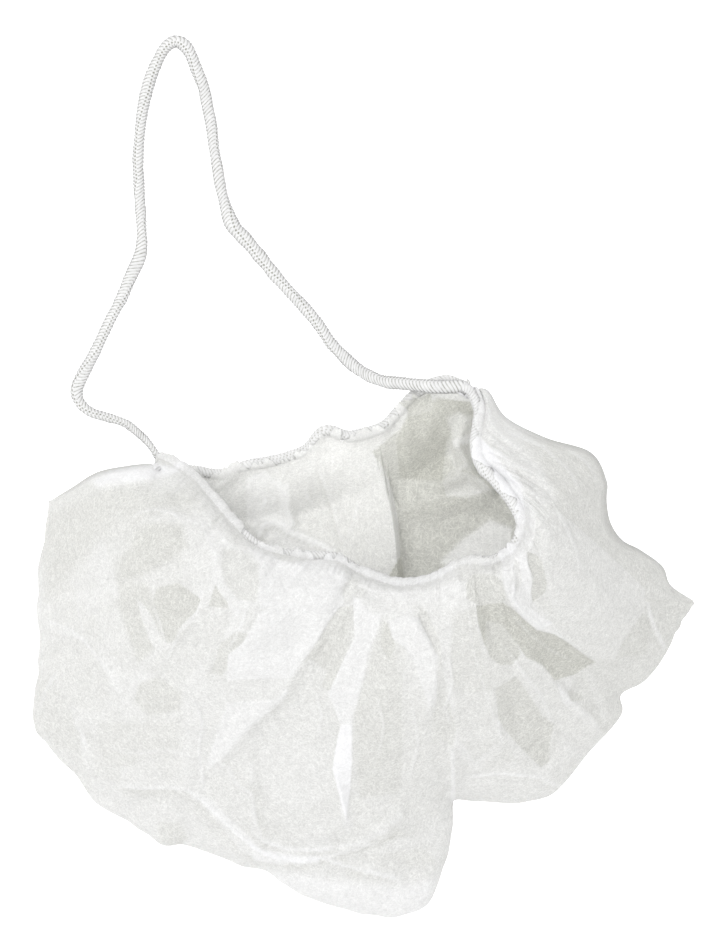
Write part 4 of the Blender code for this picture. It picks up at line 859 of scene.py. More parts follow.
# how folds, patches and thin creases look
foldLooks = {
    "sharpness": 1.15,  # power of the slopes of the front layer's folds
    "foldTone": 0.45,  # how much of a fold's whiteness shows
    "foldToneSpread": 1.6,  # how soon it is full on the way up to the crest
    "crestHighlight": 0.4,  # painted highlight along the crest of a sharp fold
    "crestRise": 3,  # height from which a crest has all of that
    "crestWidth": 0.5,  # distance from the crest up to which it is full; at twice that it is gone
    "patchLimits": (-0.6, 0.8),  # whiteness beyond which a patch lies no lower or higher
    "creaseEnds": (-1, 5),  # distances from its end where a thin crease starts and is full
    "creaseWidth": (0.95, 0.8),  # half its width, and how much of that is soft
    "creaseRise": 0.35,  # how high a light crease stands up
    "creaseFar": 3,  # how many times its reach the painted shade beside it is followed
}
# how a net of cloth is laid flat between its edges: first every few of its rows and columns, then all
settling = {"coarseStep": 8, "coarseRounds": 3000, "fineRounds": 120, "pull": 0.9}
# the cloth: one sheet, gathered on the elastic and folded round the bottom
cloth = {
    "flatHalf": (0.21, 0.1),  # metres of cloth in the left half of the front layer before it was gathered
    "columns": 680,
    # outer fold, front rim, back rim: shares of their lengths that one column joins
    "fans": [
        (0, 0, 0), (0.11, 0.1, 0.2), (0.185, 0.17, 0.3), (0.28, 0.3, 0.4), (0.375, 0.39, 0.49),
        (0.52, 0.48, 0.62), (0.595, 0.53, 0.68), (0.665, 0.575, 0.74), (0.785, 0.64, 0.79),
        (0.9, 0.7, 0.84), (0.955, 0.74, 0.88), (0.98, 0.775, 0.9), (1, 1, 1),
    ],
    "fanRound": 21,  # columns over which their corners are rounded
    "cornerBlend": 4,  # columns over which the layers part from the mouth's corners
    "wrapRows": 10,  # rows that lie over the elastic
    "wrapGap": 0.35,  # between the elastic and the cloth over it
    "wrapLeast": 5,  # degrees of the elastic that are always covered
    "wrapTone": 0.3,  # how much whiter the cloth is there
    "frill": 0.55,  # how far the cloth on the elastic puckers
    "frillSpread": 1.6,  # height of the ridges that makes a full pucker
    "frillMost": 1.3,  # most of it, against a full pucker
    "frillOutside": 0.35,  # share of it that is left where the cloth leaves the elastic
    "edgeStray": 75,  # how unevenly the cloth's edge lies on the elastic, in degrees
    "wideCover": 60,  # degrees from which a cover's edge strays less, as it ends on the hidden side
    "cornerTilt": 35,  # how steeply the cloth leaves the elastic at the mouth's corners, in degrees
    "cornerReach": 0.08,  # share of the columns over which the tilts blend into a corner's
    "squareStart": 50,  # how strongly the cloth keeps its first direction
    "squareFade": 4,  # how soon that ends on the way out
    "sideReach": 0.3,  # share of the columns that a side fold pulls along
    "sideSettle": 0.5,  # share of a side fold over which it comes down to the outer fold's height
    "foldThickness": 5,  # of the outer fold
    "borderStep": 6,  # every so many places of the folds and of the elastic mark where the cloth may lie
    "edgeStep": 4,
    "tuck": 0.2,  # how far inside the folds strays are put back
    "roundStart": 0.12,  # share of the way out over which the outer fold's rounding sets in
    "lowest": 0.15,  # least height over the table
    "seed": 21,
}
frontLayer = {
    "rim": frontHalf,
    "fan": 1,
    "rows": 248,
    "rowPower": 1,
    # share of the columns, how steeply the layer leaves the elastic, in degrees
    "tilt": [(0, 20), (0.05, 6), (0.62, 6), (0.7, 18), (0.94, 18), (1, 30)],
    # share of the columns, degrees of the elastic that the layer covers
    "cover": [
        (0, 60), (0.06, 125), (0.16, 100), (0.22, 30), (0.36, 34), (0.42, 100), (0.6, 110),
        (0.68, 70), (0.73, 64), (0.85, 68), (0.95, 60), (1, 60),
    ],
    # share of the columns, how strongly the layer is gathered
    "gathered": [(0, 0.8), (0.6, 0.9), (0.7, 1.2), (0.95, 1.3), (1, 0.8)],
    # share of the columns, height over a plain slope
    "crown": [
        (0, 11), (0.12, 16.5), (0.28, 12), (0.5, 10), (0.64, 6.6), (0.76, 5.5), (0.88, 11), (1, 12),
    ],
    "crownPower": 0.8,  # below 1 the top of that is nearer to the mouth
    "slopePower": 1.6,  # above 1 the plain slope falls slowly at first
    "shelf": 0.9,  # how far it stands up beside the elastic
    "shelfStart": (0, 3.5),  # distances from the elastic over which it rises
    "shelfEnd": (4, 12),  # and over which it goes down again
    "round": 4.5,  # how far in from the outer fold it is still rounding over
    "foldStart": 8,  # how far out from the elastic its folds are at their full height
    "foldHeight": 0.5,  # share of the heights in the table of folds that its folds get
    # share of the columns, width of the flat hem beside the elastic, how far it stands up
    "hem": [
        (0, 3, 0), (0.26, 6, 0), (0.36, 6, 0.6), (0.5, 6.5, 0.7), (0.6, 5, 0.4), (0.66, 5, 0),
        (1, 3, 0),
    ],
    "hemStart": 2,  # distance from the elastic at which the hem is at its full height
    "hemSoft": 1,  # half the width of the step at its end
    "hemTone": 0.35,  # whiteness for each millimetre that it stands up
    "hemFade": 6,  # how suddenly its whiteness ends
    "hemShadeLine": 1.2,  # half the width of the painted shade line at its end
    "patchStep": 0.5,  # how far a fully white patch stands up
    "patchStart": (1, 4),  # distances from the elastic over which the patches begin to stand up
    "clearance": 1.2,  # least space over the back layer's folds
    "cornerSlope": 0.6,  # how steeply it may fall from the mouth's corners
    "patches": frontPatches,
    "creases": frontCreases,
}
backLayer = {
    "rim": backHalf,
    "fan": 2,
    "rows": 104,
    "rowPower": 1.5,  # rows are closer together near the mouth
    "tilt": [(0, 55), (1, 55)],
    "cover": [
        (0, 60), (0.15, 60), (0.25, 25), (0.42, 25), (0.5, 75), (0.6, 75), (0.68, 30), (0.85, 30),
        (1, 60),
    ],
    "gathered": [(0, 0.2), (1, 0.2)],
    "drop": 16,  # how far in from the mouth it reaches the table
    "dropPower": 1.3,
    "round": 5,
    "foldStart": 14,
    "patches": backPatches,
    "creases": backCreases,
}


def rounded(values, reach):
    # the list with its corners rounded, its ends kept
    steps = np.arange(1, reach + 1)
    before = values[0] - (values[1] - values[0]) * steps[::-1]
    after = values[-1] + (values[-1] - values[-2]) * steps
    weights = np.ones(2 * reach + 1) / (2 * reach + 1)
    return np.convolve(np.concatenate([before, values, after]), weights, "valid")


def nearestOn(points, line):
    # the nearest place on a line and the distance to it
    best = np.full(points.shape[:-1], np.inf)
    place = np.zeros((*points.shape[:-1], 2))
    for start, end in zip(line[:, :2], line[1:, :2]):
        run = end - start
        t = np.clip(((points[..., :2] - start) @ run) / max(run @ run, 1e-9), 0, 1)
        there = start + t[..., None] * run
        gap = np.linalg.norm(points[..., :2] - there, axis=-1)
        closer = gap < best
        best[closer], place[closer] = gap[closer], there[closer]
    return place, best


def insideRing(points, ring):
    # whether each point lies within the closed ring
    x, y = points[..., 0], points[..., 1]
    inside = np.zeros(x.shape, bool)
    for (ax, ay), (bx, by) in zip(ring[:, :2], ring[1:, :2]):
        crosses = (ay > y) != (by > y)
        inside ^= crosses & (x < ax + (y - ay) * (bx - ax) / (by - ay if by != ay else 1))
    return inside


def placesNear(points, line, margin):
    # which points lie in the line's box with the margin round it
    low, high = line.min(axis=0) - margin, line.max(axis=0) + margin
    return np.nonzero(((points[..., :2] > low) & (points[..., :2] < high)).all(axis=-1))


def foldShape(points, folds, sharp):
    # height and tone that the folds give each place, the tone partly double cloth and partly painted light
    # and shade; sharp folds come to an edge
    crests, valleys, tone = np.zeros((3, *points.shape[:-1]))
    for first, *stretches in folds:
        start = np.array(first)
        for x, y, leftRun, rightRun, rise, leftTone, rightTone in stretches:
            end = np.array([x, y])
            run = end - start
            away = points[..., :2] - start
            nearest = np.clip((away @ run) / (run @ run), 0, 1)
            onLeft = away[..., 1] * run[0] - away[..., 0] * run[1] > 0
            gap = np.linalg.norm(away - nearest[..., None] * run, axis=-1)
            fall = np.clip(1 - gap / np.where(onLeft, leftRun, rightRun), 0, 1)
            height = rise * (fall ** foldLooks["sharpness"] if sharp else eased(fall, 0, 1))
            crests = np.maximum(crests, height)
            valleys = np.minimum(valleys, height)
            spread = np.clip(fall * foldLooks["foldToneSpread"], 0, 1)
            tone += foldLooks["foldTone"] * np.where(onLeft, leftTone, rightTone) * spread
            # painted highlight along the crest of a sharp fold
            if rise > 0 and sharp:
                crest = foldLooks["crestHighlight"] * np.clip(2 - gap / foldLooks["crestWidth"], 0, 1)
                tone = np.maximum(tone, crest * min(rise / foldLooks["crestRise"], 1))
            start = end
    return crests + valleys, tone


def patchTone(points, tone, patches):
    # the patches laid over the tone; also gives how far each place stands up for its whiteness
    step = np.zeros(points.shape[:-1])
    for whiteness, softness, corners in patches:
        ring = np.array([*corners, corners[0]])
        here = placesNear(points, ring, softness)
        gap = nearestOn(points[here], ring)[1]
        gap = np.where(insideRing(points[here], ring), gap, -gap)
        cover = eased(gap, -softness / 2, softness / 2)
        tone[here] = tone[here] * (1 - cover) + whiteness * cover
        step[here] = step[here] * (1 - cover) + np.clip(whiteness, *foldLooks["patchLimits"]) * cover
    return tone, step


def creaseLines(points, creases):
    # painted highlight along the thin creases and painted shade beside them, and how far they stand up
    tone, lift = np.zeros((2, *points.shape[:-1]))
    half, soft = foldLooks["creaseWidth"]
    for light, shade, reach, side, places in creases:
        line = np.array(places)
        here = placesNear(points, line, foldLooks["creaseFar"] * reach)
        there, gap = nearestOn(points[here], line)
        toStart, toEnd = (np.linalg.norm(there - end, axis=-1) for end in (line[0], line[-1]))
        strength = eased(np.minimum(toStart, toEnd), *foldLooks["creaseEnds"])
        crest = strength * eased(half - gap, 0, soft)
        beside = strength * ((points[here][:, :2] - there) @ np.array(side) > 0) * np.exp(-gap / reach)
        tone[here] += light * crest + shade * beside * (1 - crest)
        lift[here] = np.maximum(lift[here], foldLooks["creaseRise"] * crest * (light > 0))
    return tone, lift


def facets(points, spacing, seed):
    # height and whiteness of cloth in flat facets between random peaks, from -1 to 1
    chance = np.random.default_rng(seed)
    low, high = np.array(crumple["area"], float)
    counts = ((high - low) / spacing).astype(int) + 1
    peaks = np.stack(np.meshgrid(*[np.arange(c) for c in counts], indexing="ij"), -1).reshape(-1, 2)
    peaks = low + spacing * (peaks + 0.5 * (peaks[:, 1:] % 2) * [1, 0])
    peaks = peaks + chance.uniform(-crumple["jitter"], crumple["jitter"], peaks.shape) * spacing
    heights = chance.uniform(-1, 1, len(peaks))
    triangles = geometry.delaunay_2d_cdt(peaks.tolist(), [], [], 0, 1e-6)[2]
    height, tone = np.zeros((2, *points.shape[:-1]))
    x, y = points[..., 0], points[..., 1]
    for a, b, c in triangles:
        pa, pb, pc = peaks[a], peaks[b], peaks[c]
        area = (pb[0] - pa[0]) * (pc[1] - pa[1]) - (pc[0] - pa[0]) * (pb[1] - pa[1])
        if abs(area) < 1e-9:
            continue
        least, most = np.minimum(np.minimum(pa, pb), pc), np.maximum(np.maximum(pa, pb), pc)
        here = np.nonzero((x >= least[0]) & (x <= most[0]) & (y >= least[1]) & (y <= most[1]))
        px, py = x[here], y[here]
        u = ((px - pa[0]) * (pc[1] - pa[1]) - (pc[0] - pa[0]) * (py - pa[1])) / area
        v = ((pb[0] - pa[0]) * (py - pa[1]) - (px - pa[0]) * (pb[1] - pa[1])) / area
        inside = (u >= 0) & (v >= 0) & (u + v <= 1)
        level = heights[a] + u * (heights[b] - heights[a]) + v * (heights[c] - heights[a])
        place = tuple(n[inside] for n in here)
        height[place] = level[inside]
        tone[place] = chance.uniform(-1, 1)
    return height, tone


def gathers(rim, out, seed):
    # height of the ridges for each column at its distances from the elastic, the finer ones ending sooner
    chance = np.random.default_rng(seed)
    travelled = travelledAlong(rim)
    height = np.zeros((len(rim), out.shape[1]))
    jitter = gatherLooks["jitter"]
    for pitch, rise, reach in gatherLooks["waves"]:
        places = np.arange(0, travelled[-1] + 2 * pitch, pitch)
        numbers = np.arange(len(places))
        warped = places + chance.uniform(-jitter, jitter, len(places)) * pitch
        strength = chance.uniform(*gatherLooks["strength"], len(places))
        spread = chance.uniform(*gatherLooks["reach"], len(places))
        phase = np.interp(travelled, warped, numbers)
        ridge = 1 - 2 * np.abs(phase - np.round(phase))
        power = np.interp(phase, numbers, strength)
        far = reach * np.interp(phase, numbers, spread)
        fall = np.exp(-((out / far[:, None]) ** gatherLooks["fall"]))
        height += rise * (power * (ridge - 0.5))[:, None] * fall
    return height


def finer(grid, step):
    # the grid with step times as many cells both ways
    for axis in (0, 1):
        count = grid.shape[axis]
        places = np.linspace(0, count - 1, (count - 1) * step + 1)
        low = np.minimum(places.astype(int), count - 2)
        part = (places - low).reshape((-1, 1, 1) if axis == 0 else (1, -1, 1))
        grid = np.take(grid, low, axis) * (1 - part) + np.take(grid, low + 1, axis) * part
    return grid


def evened(net, rounds):
    # moves the inner points of a net until it lies flat between its edges, without folding over
    for _ in range(rounds):
        down = (net[1:-1, 2:] - net[1:-1, :-2]) / 2
        over = (net[2:, 1:-1] - net[:-2, 1:-1]) / 2
        pairs = (down, down), (down, over), (over, over)
        a, b, c = (np.sum(p * q, -1, keepdims=True) for p, q in pairs)
        corners = net[2:, 2:] - net[2:, :-2] - net[:-2, 2:] + net[:-2, :-2]
        around = a * (net[2:, 1:-1] + net[:-2, 1:-1]) + c * (net[1:-1, 2:] + net[1:-1, :-2])
        even = (around - b * corners / 2) / (2 * (a + c))
        net[1:-1, 1:-1] += settling["pull"] * (even - net[1:-1, 1:-1])
    return net


def settled(net):
    step = settling["coarseStep"]
    coarse = net[::step, ::step].copy()
    moved = evened(coarse.copy(), settling["coarseRounds"]) - coarse
    return evened(net + finer(moved, step), settling["fineRounds"])


def softened(values):
    # each inner value half way to the mean of its neighbours
    around = values[:-2, 1:-1] + values[2:, 1:-1] + values[1:-1, :-2] + values[1:-1, 2:]
    values[1:-1, 1:-1] = (values[1:-1, 1:-1] + around / 4) / 2
    return values


def outerLine(share, fan, values):
    # the fold round the bottom, one place for each column
    line = along(smoothCurve(np.array(outline["outerFold"])), fan)
    line = np.column_stack([line, np.full(len(line), values["foldThickness"] / 2)])
    chance = np.random.default_rng(values["seed"])
    stray = scattered(chance, share, -1, 1, outline["waverPlaces"]) * outline["waver"]
    line[:, :2] += stray[:, None] * unit(line[:, :2])
    return line


def rimLine(layer, fan, values):
    # the middle line of the elastic, one place for each column
    fans = np.array(values["fans"])
    places = np.interp(fan, fans[:, 0], fans[:, layer["fan"]])
    return along(layer["rim"], rounded(places, values["fanRound"]))


def wrapCloth(layer, rim, outer, share, values):
    # the cloth over the elastic: columns of places from the mouth's side to where it leaves the elastic
    reach = values["cornerReach"]
    nearCorner = np.maximum(1 - share / reach, 1 - (1 - share) / reach).clip(0, 1)
    tilt = np.radians(fromRows(layer["tilt"], share))
    tilt += (math.radians(values["cornerTilt"]) - tilt) * nearCorner
    onRim = np.zeros((len(rim), 1))
    pucker = gathers(rim, onRim, values["seed"])[:, 0]
    pucker = values["frill"] * np.clip(0.5 + pucker / values["frillSpread"], 0, values["frillMost"])
    uneven = rounded(gathers(rim, onRim, values["seed"] + 1)[:, 0], 2)
    cover = fromRows(layer["cover"], share)
    narrow = np.clip(2 - cover / values["wideCover"], 0, 1)
    cover += values["edgeStray"] * uneven * (1 - nearCorner) * narrow
    cover = np.radians(np.maximum(cover, values["wrapLeast"]))
    ahead = unit(rim[:, 3:])
    outward = outer - rim[:, :3]
    outward[:, 2] = 0
    outward = unit(outward)
    outward = unit(outward - np.sum(outward * ahead, axis=1)[:, None] * ahead)
    up = np.cross(outward, ahead)
    up *= np.sign(up[:, 2:3])
    part = np.linspace(1, 0, values["wrapRows"] + 1)[None]
    angle = (math.pi / 2 - tilt)[:, None] + cover[:, None] * part
    kept = values["frillOutside"] + (1 - values["frillOutside"]) * part
    radius = knit["diameter"] / 2 + values["wrapGap"] + pucker[:, None] * kept
    ring = np.cos(angle)[..., None] * outward[:, None] + np.sin(angle)[..., None] * up[:, None]
    return rim[:, None, :3] + radius[..., None] * ring


def sideFolds(wrap):
    # the folds from the mouth's corners to the ends of the outer fold, as high as the corners
    lines = []
    for index, name in ((0, "leftFold"), (-1, "rightFold")):
        corner = wrap[index, -1]
        line = smoothCurve(np.vstack([corner[:2], outline[name]]))
        lines.append(np.column_stack([line, np.full(len(line), corner[2])]))
    return lines


def layNet(layer, wrap, outer, sides, share, values):
    # the layer seen from above, from the elastic to the outer fold, with what its heights need
    row = np.linspace(0, 1, layer["rows"] + 1) ** layer["rowPower"]
    down = row[None, :, None]
    edge = wrap[:, -1]
    plan = edge[:, None] * (1 - down) + outer[:, None] * down
    leaving = edge - wrap[:, -2]
    leaving[:, 2] = 0
    plan += unit(leaving)[:, None] * values["squareStart"] * down * (1 - down) ** values["squareFade"]
    middle = values["foldThickness"] / 2
    base = middle
    borders = []
    for line, index, away in ((sides[0], 0, share), (sides[1], -1, 1 - share)):
        border = along(line, row)
        top = line[0, 2]
        border[:, 2] = top + (middle - top) * eased(row, 0, values["sideSettle"])
        pull = np.clip(1 - away / values["sideReach"], 0, 1)
        bow = border - (edge[index] * (1 - row[:, None]) + outer[index] * row[:, None])
        plan += pull[:, None, None] * bow
        base = base + pull[:, None] * (border[:, 2] - middle)
        borders.append(border)
    net = {"row": row, "edge": edge, "outer": outer, "borders": borders, "base": base, "plan": plan}
    pinEdges(net)
    plan[..., :2] = settled(plan[..., :2])
    some = values["borderStep"]
    boundary = np.vstack([borders[0][::some], outer[::some], borders[1][::-some]])
    strays = ~insideRing(plan, np.vstack([boundary, edge[:: -values["edgeStep"]], boundary[:1]]))
    strays[[0, -1]] = strays[:, [0, -1]] = False
    kept = nearestOn(plan[strays], boundary)[0]
    plan[..., :2][strays] = kept + values["tuck"] * unit(kept - plan[strays][:, :2] + 1e-9)
    net["inside"] = nearestOn(plan, boundary)[1]
    net["out"] = np.linalg.norm((outer - edge)[:, :2], axis=1)[:, None] * row
    return net


def pinEdges(net):
    # the net ends on the side folds, on the cloth over the elastic and on the outer fold
    plan = net["plan"]
    plan[0], plan[-1], plan[:, 0], plan[:, -1] = *net["borders"], net["edge"], net["outer"]


def frontForm(net, share, values):
    # height of the front layer without its folds, height of its folds, tone
    lip, row, out = net["edge"][:, 2:3], net["row"], net["out"]
    crown = fromRows(frontLayer["crown"], share)[:, None]
    level = lip + (values["foldThickness"] - lip) * row ** frontLayer["slopePower"]
    level += crown * np.sin(math.pi * row ** frontLayer["crownPower"])
    shelf = frontLayer["shelf"] * eased(out, *frontLayer["shelfStart"])
    level += shelf * (1 - eased(out, *frontLayer["shelfEnd"]))
    folds, tone = foldShape(net["plan"], frontFolds, True)
    folds *= frontLayer["foldHeight"]
    for spacing, rise, shade, seed in crumple["sets"]:
        height, white = facets(net["plan"], spacing, seed)
        folds += rise * height
        tone += shade * white
    return level, folds, tone


def backForm(net):
    # the same of the back layer, which comes down to the table
    lip, out = net["edge"][:, 2:3], net["out"]
    level = lip * np.clip(1 - out / backLayer["drop"], 0, 1) ** backLayer["dropPower"]
    return level, *foldShape(net["plan"], backFolds, False)


def addHem(net, share, shape, height, tone):
    # raises and whitens the front layer's hem and paints shade along a line at its end, in the arrays that
    # it is given
    out = net["out"]
    places, width, rise = np.array(frontLayer["hem"]).T
    width, rise = (np.interp(share, places, value)[:, None] for value in (width, rise))
    start, soft = frontLayer["hemStart"], frontLayer["hemSoft"]
    height += shape * rise * eased(out, 0, start) * (1 - eased(out, width - soft, width + soft))
    # painted shade: a darker line where the hem's step ends
    line = np.exp(-(((out - width) / frontLayer["hemShadeLine"]) ** 2))
    whole = np.exp(-((out / width) ** frontLayer["hemFade"]))
    tone += frontLayer["hemTone"] * rise * (whole - line)


def keepAbove(net, height, fade):
    # the front layer stays over the back layer's folds, with no dent beside the mouth's corners
    plan = net["plan"]
    under = foldShape(plan, backFolds, False)[0] + frontLayer["clearance"]
    height = np.where(fade > 0.5, np.maximum(height, under), height)
    for corner in (net["edge"][0], net["edge"][-1]):
        away = np.linalg.norm(plan[..., :2] - corner[:2], axis=-1)
        height = np.maximum(height, corner[2] - frontLayer["cornerSlope"] * away)
    return height


def raiseNet(layer, net, rim, share, values):
    # gives the net its heights and returns its tone
    front = layer is frontLayer
    plan, out = net["plan"], net["out"]
    level, folds, tone = frontForm(net, share, values) if front else backForm(net)
    roundness = np.sqrt(1 - (1 - np.clip(net["inside"] / layer["round"], 0, 1)) ** 2)
    roundness = 1 - (1 - roundness) * eased(net["row"], 0, values["roundStart"])
    height = net["base"] + (level - net["base"]) * roundness
    shape = eased(net["inside"], 0, layer["round"])
    fade = shape * eased(out, 0, layer["foldStart"])
    ridges = gathers(rim, out, values["seed"]) * fromRows(layer["gathered"], share)[:, None]
    height += fade * folds + shape * eased(out, *gatherLooks["start"]) * ridges
    if front:
        addHem(net, share, shape, height, tone)
    tone, step = patchTone(plan, tone, layer["patches"])
    lines, lift = creaseLines(plan, layer["creases"])
    tone += lines
    # painted light on the gathers' ridges and painted shade in their valleys
    tone += gatherLooks["tone"] * ridges * np.exp(-out / gatherLooks["toneReach"])
    height += fade * lift
    if front:
        height += shape * eased(out, *layer["patchStart"]) * step * layer["patchStep"]
    height = softened(height)
    if front:
        height = keepAbove(net, height, fade)
    plan[..., 2] = np.maximum(height, values["lowest"])
    pinEdges(net)
    return tone


def clothLayers(values):
    # the grid of places and the tones of the front and the back layer
    fans = np.array(values["fans"])
    share = np.linspace(0, 1, values["columns"] + 1)
    fan = rounded(np.interp(share, (fans[:, 0] + fans[:, 1]) / 2, fans[:, 0]), values["fanRound"])
    outer = outerLine(share, fan, values)
    layers = frontLayer, backLayer
    rims = [rimLine(layer, fan, values) for layer in layers]
    for ends in (slice(None), slice(None, None, -1)):  # both layers share the mouth's corners
        blend = np.clip(1 - np.arange(len(fan)) / values["cornerBlend"], 0, 1)[ends, None]
        rims[1] = rims[1] * (1 - blend) + rims[0] * blend
    wraps = [wrapCloth(layer, rim, outer, share, values) for layer, rim in zip(layers, rims)]
    wraps[1][[0, -1]] = wraps[0][[0, -1]]
    sides = sideFolds(wraps[0])
    grids = []
    for layer, rim, wrap in zip(layers, rims, wraps):
        net = layNet(layer, wrap, outer, sides, share, values)
        tone = raiseNet(layer, net, rim, share, values)
        wrapTone = np.repeat(tone[:, :1], values["wrapRows"], axis=1) + values["wrapTone"]
        grid = np.concatenate([wrap[:, :-1], net["plan"]], axis=1)
        grids.append((grid, np.concatenate([wrapTone, tone], axis=1)))
    return grids


def makeCloth(values):
    # the front layer in two pieces and the back layer in one, which share the places where they meet
    front, back = clothLayers(values)
    middle = values["columns"] // 2
    pieces = []
    for name, (grid, tone), part, turned in (
        ("clothFrontLeft", front, slice(0, middle + 1), 1),
        ("clothFrontRight", front, slice(middle, None), 1),
        ("clothBack", back, slice(None), -1),
    ):
        normals = np.cross(np.gradient(grid, axis=1), np.gradient(grid, axis=0)) * turned
        normals = unit(normals + [0, 0, 1e-9])[part].reshape(-1, 3)
        grid, tone = grid[part], tone[part]
        columns, rows = tone.shape
        numbers = np.arange(columns * rows).reshape(columns, rows)
        quads = np.stack([numbers[:-1, :-1], numbers[:-1, 1:], numbers[1:, 1:], numbers[1:, :-1]], -1)
        faces = quads.reshape(-1, 4)[:, ::turned].tolist()
        piece = addMesh(name, grid.reshape(-1, 3), faces, [("tone", tone.ravel())], normals)
        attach(piece, "root")
        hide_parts("pouch")
        pieces.append(piece)
    return pieces


clothPieces = makeCloth(cloth)
print("cloth made")

# tuft of cloth where the left end of the elastic is stitched down
stitchedEnd = {
    "place": (-71.7, 61.6, 17.2),
    "size": (2.7, 1.8, 3.2),
    "turn": 0.45,
    "waves": [[7, 2, -3], [-2, 6, 9], [4, -9, 5]],  # how fast its lumps change along x, y and z
    "lumps": 0.1,
    "tone": 0.7,
    # how much lighter its lumps and darker its dents are: painted light and shade
    "paintedLumpShading": 0.2,
}


def makeStitchedEnd(values):
    ball = bmesh.new()
    bmesh.ops.create_icosphere(ball, subdivisions=5, radius=1)
    points = np.array([corner.co[:] for corner in ball.verts])
    faces = [[corner.index for corner in face.verts] for face in ball.faces]
    ball.free()
    waves = np.sin(points @ values["waves"] + [0, 1, 2]).sum(axis=1)
    points *= (1 + values["lumps"] * waves / 2)[:, None] * values["size"]
    cos, sin = math.cos(values["turn"]), math.sin(values["turn"])
    points = points @ [[cos, sin, 0], [-sin, cos, 0], [0, 0, 1]] + values["place"]
    # painted light and shade: lighter where it bulges out, darker in its dents
    tone = values["tone"] + values["paintedLumpShading"] * waves
    tuft = addMesh("stitchedEnd", points, faces, [("tone", tone)])
    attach(tuft, "root")
    return tuft


stitchedEndPiece = makeStitchedEnd(stitchedEnd)
print("stitched end made")

# materials

def newGroup(name, inputs, outputs):
    # the inputs are rows of name and usual value; all sockets hold a number
    group = bpy.data.node_groups.new(name, "ShaderNodeTree")
    for label, value in inputs:
        socket = group.interface.new_socket(label, in_out="INPUT", socket_type="NodeSocketFloat")
        socket.default_value = value
    for label in outputs:
        group.interface.new_socket(label, in_out="OUTPUT", socket_type="NodeSocketFloat")
    return group


def addNode(tree, kind, inputs, **settings):
    # an input gets another node's output, or else a plain value; gives the node's outputs
    node = tree.nodes.new(kind)
    for key, value in settings.items():
        setattr(node, key, value)
    for key, value in inputs.items():
        if isinstance(value, bpy.types.NodeSocket):
            tree.links.new(value, node.inputs[key])
        else:
            node.inputs[key].default_value = value
    return node.outputs


def calculated(tree, operation, first, second):
    return addNode(tree, "ShaderNodeMath", {0: first, 1: second}, operation=operation)["Value"]


def stretched(tree, value, start=0, end=1, low=0, high=1):
    # low up to where the value starts, high from where it ends
    limits = {"From Min": start, "From Max": end, "To Min": low, "To Max": high}
    return addNode(tree, "ShaderNodeMapRange", {"Value": value, **limits})["Result"]


def coloured(tree, value, colours):
    # the colours are rows of place on the ramp, colour
    ramp = tree.nodes.new("ShaderNodeValToRGB")
    tree.links.new(value, ramp.inputs["Fac"])
    stops = ramp.color_ramp.elements
    stops.remove(stops[1])
    stops[0].position, stops[0].color = colours[0]
    for place, colour in colours[1:]:
        stops.new(place).color = colour
    return ramp.outputs["Color"]


def bumped(tree, height, strength, distance, under=None):
    # under is the normal of a broader bump that this one lies on
    inputs = {"Height": height, "Strength": strength, "Distance": distance}
    if under:
        inputs["Normal"] = under
    return addNode(tree, "ShaderNodeBump", inputs)["Normal"]


def turnedAway(tree, start, end, shade):
    # painted shade: 1 where the surface faces the eye, falling by the shade where it turns away
    facing = addNode(tree, "ShaderNodeLayerWeight", {"Blend": 0.5})["Facing"]
    return stretched(tree, facing, start, end, 1, 1 - shade)


# loose fibres lying in all directions, for the cloth and the yarn
fibres = {
    "directions": (8, 52, 97, 141),  # degrees
    "apart": (0.31, 0.17),  # metres between the places that two directions are taken from
    "streak": 6,  # length of a fibre over its width
    "shown": (0.5, 0.78),  # where a fibre starts to show, and where it is full
    "crinklesPerMetre": 260,
    # how fine and how rough the noise is
    "webNoise": {"Detail": 2, "Roughness": 0.6},
    "clumpNoise": {"Detail": 4, "Roughness": 0.65},
    "crinkleNoise": {"Detail": 5, "Roughness": 0.6, "Distortion": 1.2},
}


def makeFibreGroup(values):
    scales = [("Fibres per metre", 900), ("Clumps per metre", 260)]
    group = newGroup("fibreWeb", scales, ["Fibres", "Clumps", "Crinkles"])
    given = group.nodes.new("NodeGroupInput").outputs
    place = group.nodes.new("ShaderNodeTexCoord").outputs["Object"]

    def noise(where, scale, **settings):
        return addNode(group, "ShaderNodeTexNoise", {"Vector": where, "Scale": scale, **settings})["Fac"]

    level = None
    for number, degrees in enumerate(values["directions"]):
        moved = (*(number * step for step in values["apart"]), 0)
        turn = {"Vector": place, "Rotation": (0, 0, math.radians(degrees)), "Location": moved}
        turned = addNode(group, "ShaderNodeMapping", turn)["Vector"]
        squeeze = {"Vector": turned, "Scale": (1, 1 / values["streak"], 1)}
        squeezed = addNode(group, "ShaderNodeMapping", squeeze)["Vector"]
        web = noise(squeezed, given["Fibres per metre"], **values["webNoise"])
        level = web if level is None else calculated(group, "MAXIMUM", level, web)
    clumps = noise(place, given["Clumps per metre"], **values["clumpNoise"])
    crinkles = noise(place, values["crinklesPerMetre"], **values["crinkleNoise"])
    shown = stretched(group, level, *values["shown"])
    addNode(group, "NodeGroupOutput", {"Fibres": shown, "Clumps": clumps, "Crinkles": crinkles})
    return group


def startMaterial(name, values, fibreGroup):
    # a material with its shader and its fibres, still without colour
    material = bpy.data.materials.new(name)
    material.use_nodes = True
    tree = material.node_tree
    shader = tree.nodes["Principled BSDF"]
    shader.inputs["Roughness"].default_value = values["roughness"]
    shader.inputs["Specular IOR Level"].default_value = values["gloss"]
    scales = {"Fibres per metre": values["fibres"], "Clumps per metre": values["clumps"]}
    web = addNode(tree, "ShaderNodeGroup", scales, node_tree=fibreGroup)
    return material, tree, shader, web


